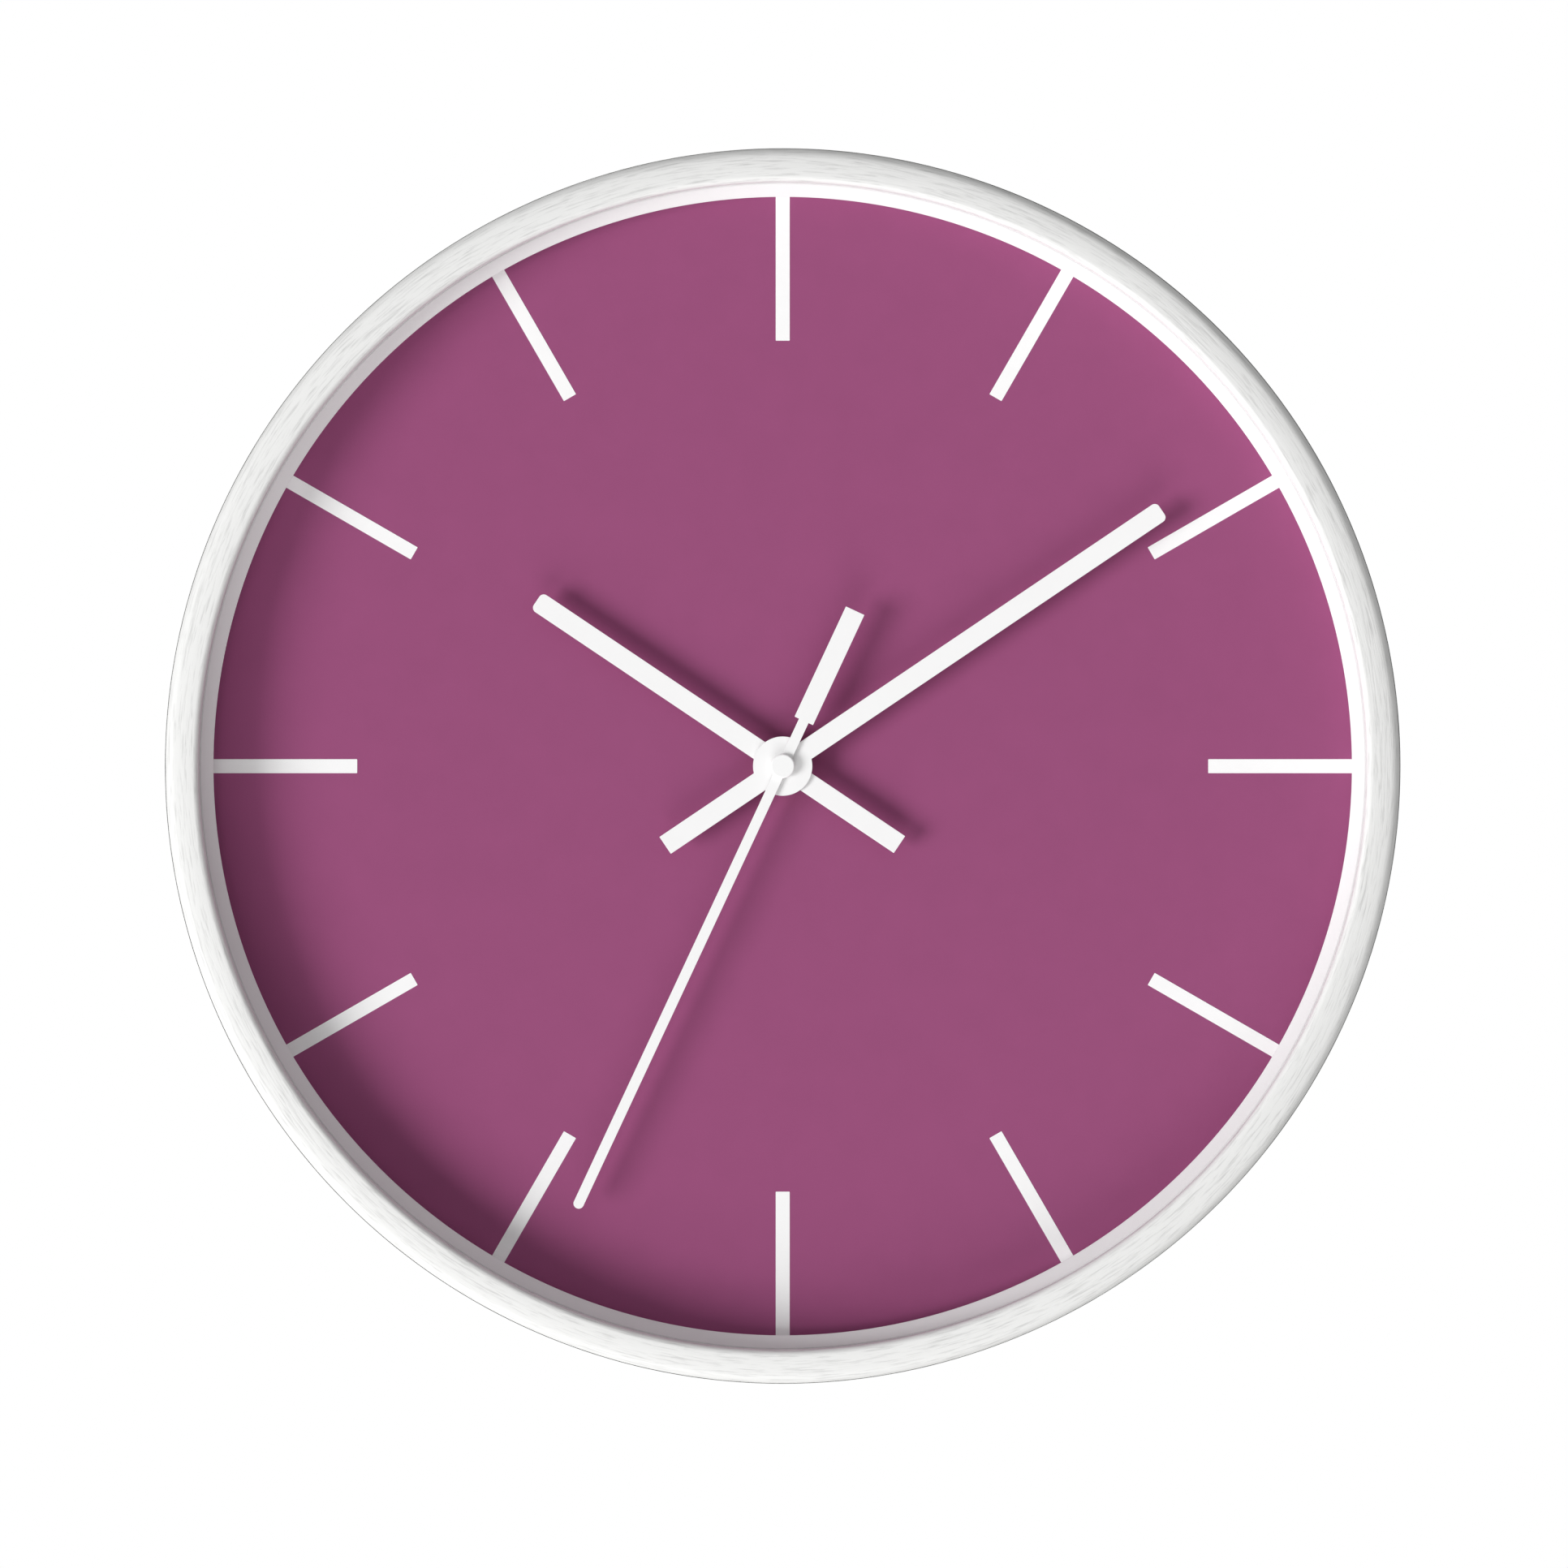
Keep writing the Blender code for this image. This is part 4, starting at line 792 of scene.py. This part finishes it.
class CLOCK_OT_second_hand(bpy.types.Operator):
    """Blanks the second hand with its counterweight and turns the cap that holds it"""

    bl_idname = "wall_clock.second_hand"
    bl_label = "Second hand"

    def execute(self, context):
        size = context.scene.clock_hands
        plate, boss = span("second_hand"), span("second_boss")
        half = size.second_width / 2
        overlap = size.weight_start + half
        piece = hand_bar(
            "second_hand_bar", size.second_width, size.second_tip, overlap, half * 0.98, plate.back, plate.front
        )
        wide = size.weight_width / 2
        weight = block("weight", -wide, wide, -size.weight_end, -size.weight_start, plate.back, plate.front)
        hub = disc("hub", boss.right * 0.94, plate.back, plate.front)
        combine(piece, "UNION", weight, hub)
        soften(piece, 0.06 * MM)
        turned_by(piece, size.second_angle)
        fit(piece, enamelled(size.enamel), "hands", "second_hand_set", "second_hand")

        cap_back = plate.front
        cap = disc("second_hand_cap", boss.right, cap_back, boss.front)
        edit(cap)
        pick("EDGE", lambda e: all(close(place_of(v)[2], boss.front) for v in e.verts))
        bevel(0.35 * MM, 5)
        pick("FACE", lambda f: close(place_of(f)[2], cap_back))
        bpy.ops.mesh.inset(thickness=boss.right * 0.55)
        pull(back=cap_back - boss.back)
        leave()
        smooth(cap)
        fit(cap, enamelled(size.enamel), "hands", "second_hand_set", "second_boss")
        return {"FINISHED"}


class CLOCK_OT_backboard(bpy.types.Operator):
    """Cuts the hardboard disc and drives the six steel points that hold it in the frame"""

    bl_idname = "wall_clock.backboard"
    bl_label = "Backboard and points"

    def execute(self, context):
        bush = span("threaded_bush")
        board = turned_plate("backboard_disc", (bush.right - bush.left) / 3, "backboard", 0.25 * MM)
        fit(board, hardboard(), "backboard", "clock_body", "backboard")

        first = span("point_1")
        point = block("frame_points", *first)
        edit(point)
        pick("EDGE", lambda e: runs_along(e, 1) and close(place_of(e)[1], first.bottom))
        bevel(2.6 * MM, 1)
        leave()
        soften(point, 0.12 * MM)
        points = [turned_by(copy_of(point), math.radians(60 * i)) for i in range(1, 6)]
        point = join("frame_points", point, *points)
        nodes = [f"point_{i}" for i in range(1, 7)]
        fit(point, zinc_plated_steel(), "steel", "clock_body", *nodes)
        return {"FINISHED"}


class CLOCK_OT_hanger(bpy.types.Operator):
    """Folds the steel strip that clamps to the dial and carries the nail hole"""

    bl_idname = "wall_clock.hanger"
    bl_label = "Hanger plate"

    def execute(self, context):
        strip, case = span("hanger_plate"), span("movement_case")
        sheet = context.scene.clock_movement.hanger_sheet
        front, rear = strip.front - sheet / 2, strip.back + sheet / 2
        fold = case.top + 0.3 * MM + sheet
        start()
        bpy.ops.mesh.primitive_plane_add(
            size=1, location=at(0, (strip.bottom + fold) / 2, front), rotation=(math.pi / 2, 0, 0)
        )
        piece = named("hanger_strip")
        piece.scale = (strip.right - strip.left, fold - strip.bottom, 1)
        settle(piece)
        edit(piece)
        pick("EDGE", lambda e: close(place_of(e)[1], fold))
        pull(back=front - rear)
        pull(up=strip.top - fold)
        for up in (strip.bottom, strip.top):
            pick("VERT", lambda v: close(place_of(v)[1], up))
            bevel(5 * MM, 8, "VERTICES")
        pick("EDGE", lambda e: runs_along(e, 0) and close(place_of(e)[1], fold))
        bevel(1.2 * MM, 4)
        leave()
        thicken = piece.modifiers.new("sheet", "SOLIDIFY")
        thicken.thickness = sheet
        thicken.offset = 0
        thicken.use_even_offset = True
        focus(piece)
        bpy.ops.object.modifier_apply(modifier=thicken.name)
        bush = span("threaded_bush")
        bush_hole = disc("bush_hole", (bush.right - bush.left) / 3, front - sheet, front + sheet)
        nail_hole = disc("nail_hole", 4 * MM, rear - sheet, rear + sheet, up=-DIAL_CENTRE.z)
        combine(piece, "DIFFERENCE", bush_hole, nail_hole)
        soften(piece, 0.12 * MM, sharper_than=50)
        fit(piece, zinc_plated_steel(), "steel", "clock_body", "hanger_plate")
        return {"FINISHED"}


class CLOCK_OT_fixings(bpy.types.Operator):
    """Turns the bush, its washer and gasket, and cuts the hexagonal nut"""

    bl_idname = "wall_clock.fixings"
    bl_label = "Bush, nut, washer and gasket"

    def execute(self, context):
        brass = plated("turned_brass", "#C9A24C", 0.3, 0.15, (1, 8, 1))
        # Nitrile rubber cut from sheet: black and dull, with a faint dusty bloom.
        rubber = mottled(
            "nitrile_rubber", linear("#26262A"), linear("#1A1A1C"), 3.0, 0.05, 0.4, Roughness=0.85, IOR=1.5
        )
        bush, washer, hexagon = span("threaded_bush"), span("washer"), span("hex_nut")
        flange_front = bush.back + 1.0 * MM
        bore, barrel = 2.65 * MM, bush.right * 2 / 3
        piece = section("bush_turning", bore, bush.right, bush.back, flange_front)
        bpy.ops.mesh.bisect(plane_co=at(barrel, 0, 0), plane_no=(1, 0, 0))
        pick("EDGE", lambda e: close(place_of(e)[2], flange_front) and place_of(e)[0] < barrel)
        pull(back=flange_front - bush.front)
        merge_faces()
        round_corner(barrel, bush.front, 0.3 * MM, 2)
        round_corner(bore, bush.front, 0.15 * MM, 2)
        round_corner(bush.right, bush.back, 0.2 * MM, 3)
        turn(SMALL_ROUND)
        fit(piece, brass, "brass", "clock_body", "threaded_bush")

        hole = barrel + 0.15 * MM
        piece = turned_plate("plain_washer", hole, "washer", 0.1 * MM)
        fit(piece, zinc_plated_steel(), "steel", "clock_body", "washer")
        piece = turned_plate("rubber_gasket", hole, "gasket", 0.12 * MM)
        fit(piece, rubber, "rubber", "clock_body", "gasket")

        corner = (hexagon.right - hexagon.left) / 2
        nut = disc("hexagonal_nut", corner, hexagon.back, hexagon.front, sides=6)
        turned_by(nut, math.radians(30))
        combine(nut, "DIFFERENCE", disc("nut_hole", hole, hexagon.back - MM, hexagon.front + MM))
        soften(nut, 0.2 * MM)
        fit(nut, brass, "brass", "clock_body", "hex_nut")
        return {"FINISHED"}


class CLOCK_OT_case(bpy.types.Operator):
    """Moulds the movement's case: a room for the wheels above a bay for the cell"""

    bl_idname = "wall_clock.case"
    bl_label = "Movement case"

    def execute(self, context):
        size = context.scene.clock_movement
        case, cover, cell = span("movement_case"), span("rear_cover"), span("battery_can")
        bush = span("threaded_bush")
        piece = block("case_moulding", *case)
        edit(piece)
        pick("EDGE", lambda e: runs_along(e, 1))
        bevel(size.case_corner, 8)
        pick("EDGE", lambda e: all(close(place_of(v)[2], case.front) for v in e.verts))
        bevel(0.8 * MM, 4)
        leave()
        wall, behind = size.case_wall, case.back - MM
        inner = case.front - wall
        gap = 0.3 * MM
        sides = (case.left + wall, case.right - wall)
        room = block("wheel_room", *sides, cover.bottom - gap, cover.top + gap, behind, inner)
        bay = block("cell_bay", *sides, cell.bottom - 0.35 * MM, cell.top + 0.35 * MM, behind, inner)
        hole = disc("bush_hole", bush.right * 2 / 3 + 0.15 * MM, inner - wall, case.front + wall)
        notch_back = inner - 3.5 * MM
        notches = [
            block("notch", left, left + width, cell.top, cover.bottom + gap, notch_back, inner - 0.3 * MM)
            for left, width in ((case.left + wall, 1.0 * MM), (case.left + wall + 2.2 * MM, 2.6 * MM))
        ]
        combine(piece, "DIFFERENCE", room, bay, hole, *notches)
        soften(piece, 0.15 * MM, sharper_than=40)
        fit(piece, black_abs(), "case", "clock_body", "movement_case")
        return {"FINISHED"}


class CLOCK_OT_cover(bpy.types.Operator):
    """Moulds the rear cover, with a sunk panel, a boss round the set knob and four bearings"""

    bl_idname = "wall_clock.cover"
    bl_label = "Rear cover"

    def execute(self, context):
        cover = span("rear_cover")
        plate_front = cover.back + 1.2 * MM
        piece = block("cover_moulding", *cover[:4], cover.back, plate_front)
        edit(piece)
        pick("FACE", lambda f: close(place_of(f)[2], cover.back))
        bpy.ops.mesh.inset(thickness=2.2 * MM)
        bpy.ops.mesh.inset(thickness=0.3 * MM, depth=-0.3 * MM)
        leave()
        knob = middle_of("set_knob")
        boss = disc("boss", 5.6 * MM, cover.back, plate_front - 0.2 * MM, *knob)
        posts, bores = [], [disc("bore", 1.15 * MM, cover.back - MM, cover.front + MM, *knob, 48)]
        pins = {"seconds_wheel": 0.6, "third_wheel": 0.5, "intermediate_wheel": 0.5, "rotor_pinion": 0.5}
        for node, pin in pins.items():
            place = middle_of(node)
            posts.append(disc("post", 1.4 * MM, plate_front - 0.6 * MM, cover.front, *place, 48))
            bores.append(disc("bore", (pin + 0.15) * MM, plate_front, cover.front + MM, *place, 32))
        combine(piece, "UNION", boss, *posts)
        combine(piece, "DIFFERENCE", *bores)
        soften(piece, 0.12 * MM, sharper_than=40)
        fit(piece, black_abs(), "case", "clock_body", "rear_cover")
        return {"FINISHED"}


class CLOCK_OT_knob(bpy.types.Operator):
    """Moulds the ridged set knob with its dished back"""

    bl_idname = "wall_clock.knob"
    bl_label = "Set knob"

    def execute(self, context):
        knob = span("set_knob")
        across, up = middle_of("set_knob")
        radius = (knob.top - knob.bottom) / 2
        piece = disc("knob_moulding", radius - 0.4 * MM, knob.back, knob.front, across, up, sides=64)
        edit(piece)
        ridge = math.radians(360 / 64)

        def on_ridge(face):
            x, z, depth = place_of(face)
            if close(depth, knob.back) or close(depth, knob.front):
                return False
            return int(math.atan2(z - up, x - across) % (2 * math.pi) / ridge) % 4 < 2

        pick("FACE", on_ridge)
        bpy.ops.mesh.extrude_region_shrink_fatten(TRANSFORM_OT_shrink_fatten={"value": 0.34 * MM})
        pick("FACE", lambda f: close(place_of(f)[2], knob.back) and len(f.verts) > 32)
        bpy.ops.mesh.inset(thickness=0.9 * MM)
        bpy.ops.mesh.inset(thickness=0.3 * MM, depth=-0.4 * MM)
        leave()
        socket = disc("socket", 1.15 * MM, knob.back + 0.6 * MM, knob.front + MM, across, up, 48)
        combine(piece, "DIFFERENCE", socket)
        soften(piece, 0.08 * MM, sharper_than=40)
        finish = moulded("grey_moulded_acetal", "#5A5D61", 0.4)
        fit(piece, finish, "case", "setting_set", "set_knob")
        return {"FINISHED"}


class CLOCK_OT_cell(bpy.types.Operator):
    """Makes the cell: its sleeve, the bare ends of the can and the positive button"""

    bl_idname = "wall_clock.cell"
    bl_label = "Battery"

    def execute(self, context):
        can, button = span("battery_can"), span("battery_button")
        radius = (can.top - can.bottom) / 2
        up, depth = (can.bottom + can.top) / 2, (can.back + can.front) / 2
        nickel = nickel_plate()

        def lying(name, size, left, right, rounding):
            start()
            bpy.ops.mesh.primitive_cylinder_add(
                vertices=SMALL_ROUND, radius=size, depth=right - left,
                location=at((left + right) / 2, up, depth), rotation=(0, math.pi / 2, 0),
            )
            made = settle(named(name))
            return soften(made, rounding, 5, 60)

        sleeve = lying("cell_sleeve", radius, can.left + 0.25 * MM, can.right - 0.15 * MM, 0.7 * MM)
        band = at(can.right - 13.5 * MM, 0, 0).x
        fit(sleeve, cell_sleeve(band), "battery", "battery", "battery_can")
        for name, left in (("cell_negative_end", can.left), ("cell_positive_end", can.right - MM)):
            end = lying(name, radius - 1.1 * MM, left, left + MM, 0.3 * MM)
            fit(end, nickel, "battery", "battery")
        size = (button.top - button.bottom) / 2
        top = lying("cell_button", size, button.left - 0.2 * MM, button.right, 0.45 * MM)
        fit(top, nickel, "battery", "battery", "battery_button")
        return {"FINISHED"}


class CLOCK_OT_works(bpy.types.Operator):
    """Gives every wheel, the motor, the circuit and the contacts inside the case its material"""

    bl_idname = "wall_clock.works"
    bl_label = "Works inside the case"

    def execute(self, context):
        natural = moulded("natural_acetal", "#ECE8DC", 0.35, 0.95)
        amber = moulded("amber_nylon", "#C98F3C", 0.38)
        plate = moulded("natural_abs", "#DED9C8", 0.5, 0.95)
        # Cold-rolled strip, blanked: dull grey with lines along the roll.
        iron = plated("rolled_soft_iron", "#8E8F92", 0.42, 0.12, (1, 1, 9))
        # Pressed and sintered powder: nearly black, with a grainy fracture.
        ferrite = mottled(
            "sintered_ferrite", linear("#3A3B3E"), linear("#28282B"), 0.4, 0.05, 0.15, Roughness=0.6, IOR=1.8
        )
        green_nylon = moulded("green_nylon", "#3E6B4F", 0.42)
        # Glass laminate under green solder mask: a weave shows faintly through the varnish.
        board = mottled(
            "green_masked_laminate", linear("#1F5B38"), linear("#174A2D"), 0.6, 0.03, 0.3,
            Roughness=0.32, IOR=1.5, Coat_Weight=0.4, Coat_Roughness=0.15,
        )
        # A blob of epoxy, cured in air: black, smooth and a little wavy.
        epoxy = mottled(
            "cured_black_epoxy", linear("#1C1C1E"), linear("#141415"), 1.2, 0.08, 1.0, Roughness=0.25, IOR=1.55
        )
        tin = plated("tinned_can", "#C4C6C8", 0.25, 0.3)
        nickel = nickel_plate()
        finishes = {
            "seconds_wheel": natural, "third_wheel": natural, "intermediate_wheel": natural,
            "centre_wheel": amber, "minute_pipe": amber, "hour_wheel": natural, "setting_wheel": natural,
            "rotor_pinion": green_nylon, "rotor_magnet": ferrite, "middle_plate": plate,
            "stator_plate": iron, "coil_core": iron, "coil_bobbin": green_nylon, "coil_winding": wound_copper(),
            "circuit_board": board, "chip": epoxy, "quartz_crystal": tin,
            "contact_negative": nickel, "contact_positive": nickel,
        }
        for node, finish in finishes.items():
            cad = bpy.data.objects[node]
            cad.data.materials.clear()
            cad.data.materials.append(finish)
        return {"FINISHED"}


class CLOCK_OT_stage(bpy.types.Operator):
    """Sets the floor, two soft lights, the even room light and the camera"""

    bl_idname = "wall_clock.stage"
    bl_label = "Stage"

    def execute(self, context):
        size = context.scene.clock_stage
        ring = span("frame")
        start()
        bpy.ops.mesh.primitive_plane_add(size=8, location=at(0, -1.6, 0))
        floor = named("pale_floor")
        floor.visible_shadow = False  # the low panel shines from beneath the clock
        light, dark = linear("#F0F0EE"), linear("#E9E9E6")
        paint = mottled("pale_floor_paint", light, dark, 160.0, 0.1, 4.0, Roughness=0.7)
        floor.data.materials.append(paint)

        side = ("soft_side_window", size.side_share, 252, 53, 26)
        low = ("soft_low_panel", size.low_share, 192, 57, 38)
        for name, share, heading, lean, width in (side, low):
            start()
            bpy.ops.object.light_add(type="SUN", location=at(0, 0, 1))
            lamp = bpy.context.object
            lamp.name = name
            toward = Vector((math.sin(math.radians(heading)), 0, math.cos(math.radians(heading))))
            toward = toward * math.sin(math.radians(lean)) - Vector((0, math.cos(math.radians(lean)), 0))
            lamp.rotation_euler = (-toward).to_track_quat("-Z", "Y").to_euler()
            lamp.data.energy = share * math.pi / math.cos(math.radians(lean))
            lamp.data.angle = math.radians(width)

        world = bpy.data.worlds.new("even_room_light")
        world.use_nodes = True
        context.scene.world = world
        tree = world.node_tree
        tree.nodes.clear()
        white = (1, 1, 1, 1)
        seen = add(tree, "ShaderNodeBackground", {"Color": white, "Strength": 1.0})
        lit = add(tree, "ShaderNodeBackground", {"Color": white, "Strength": size.room_share})
        camera_rays = add(tree, "ShaderNodeLightPath", {}).outputs["Is Camera Ray"]
        mix = {"Fac": camera_rays, 1: lit.outputs["Background"], 2: seen.outputs["Background"]}
        both = add(tree, "ShaderNodeMixShader", mix).outputs["Shader"]
        add(tree, "ShaderNodeOutputWorld", {"Surface": both})

        bpy.ops.object.camera_add(
            location=at(size.left, -size.above, ring.front + size.distance), rotation=(math.pi / 2, 0, 0)
        )
        camera = bpy.context.object
        camera.name = "front_camera"
        camera.data.lens = camera.data.sensor_width * size.distance / size.view_width
        context.scene.camera = camera
        context.scene.view_settings.view_transform = "Standard"
        return {"FINISHED"}


class CLOCK_PT_panel(bpy.types.Panel):
    bl_idname = "CLOCK_PT_panel"
    bl_label = "Wall clock"
    bl_space_type = "VIEW_3D"
    bl_region_type = "UI"
    bl_category = "Wall clock"

    def draw(self, context):
        for operator in OPERATORS:
            self.layout.operator(operator.bl_idname)
        for name in GROUPS:
            box = self.layout.box()
            settings = getattr(context.scene, name)
            for key in settings.__annotations__:
                box.prop(settings, key)


GROUPS = {
    "clock_frame": CLOCK_PG_frame,
    "clock_dial": CLOCK_PG_dial,
    "clock_hands": CLOCK_PG_hands,
    "clock_movement": CLOCK_PG_movement,
    "clock_stage": CLOCK_PG_stage,
}
OPERATORS = (
    CLOCK_OT_frame, CLOCK_OT_spacer, CLOCK_OT_lens, CLOCK_OT_dial, CLOCK_OT_marks,
    CLOCK_OT_wide_hands, CLOCK_OT_second_hand, CLOCK_OT_backboard, CLOCK_OT_hanger,
    CLOCK_OT_fixings, CLOCK_OT_case, CLOCK_OT_cover, CLOCK_OT_knob, CLOCK_OT_cell, CLOCK_OT_works,
    CLOCK_OT_stage,
)


def register():
    for cls in (*GROUPS.values(), *OPERATORS, CLOCK_PT_panel):
        bpy.utils.register_class(cls)
    for name, cls in GROUPS.items():
        setattr(bpy.types.Scene, name, bpy.props.PointerProperty(type=cls))


def unregister():
    for name in GROUPS:
        delattr(bpy.types.Scene, name)
    for cls in reversed((*GROUPS.values(), *OPERATORS, CLOCK_PT_panel)):
        bpy.utils.unregister_class(cls)


def main():
    register()
    for operator in OPERATORS:
        package, name = operator.bl_idname.split(".")
        getattr(getattr(bpy.ops, package), name)()


if __name__ == "__main__":
    main()
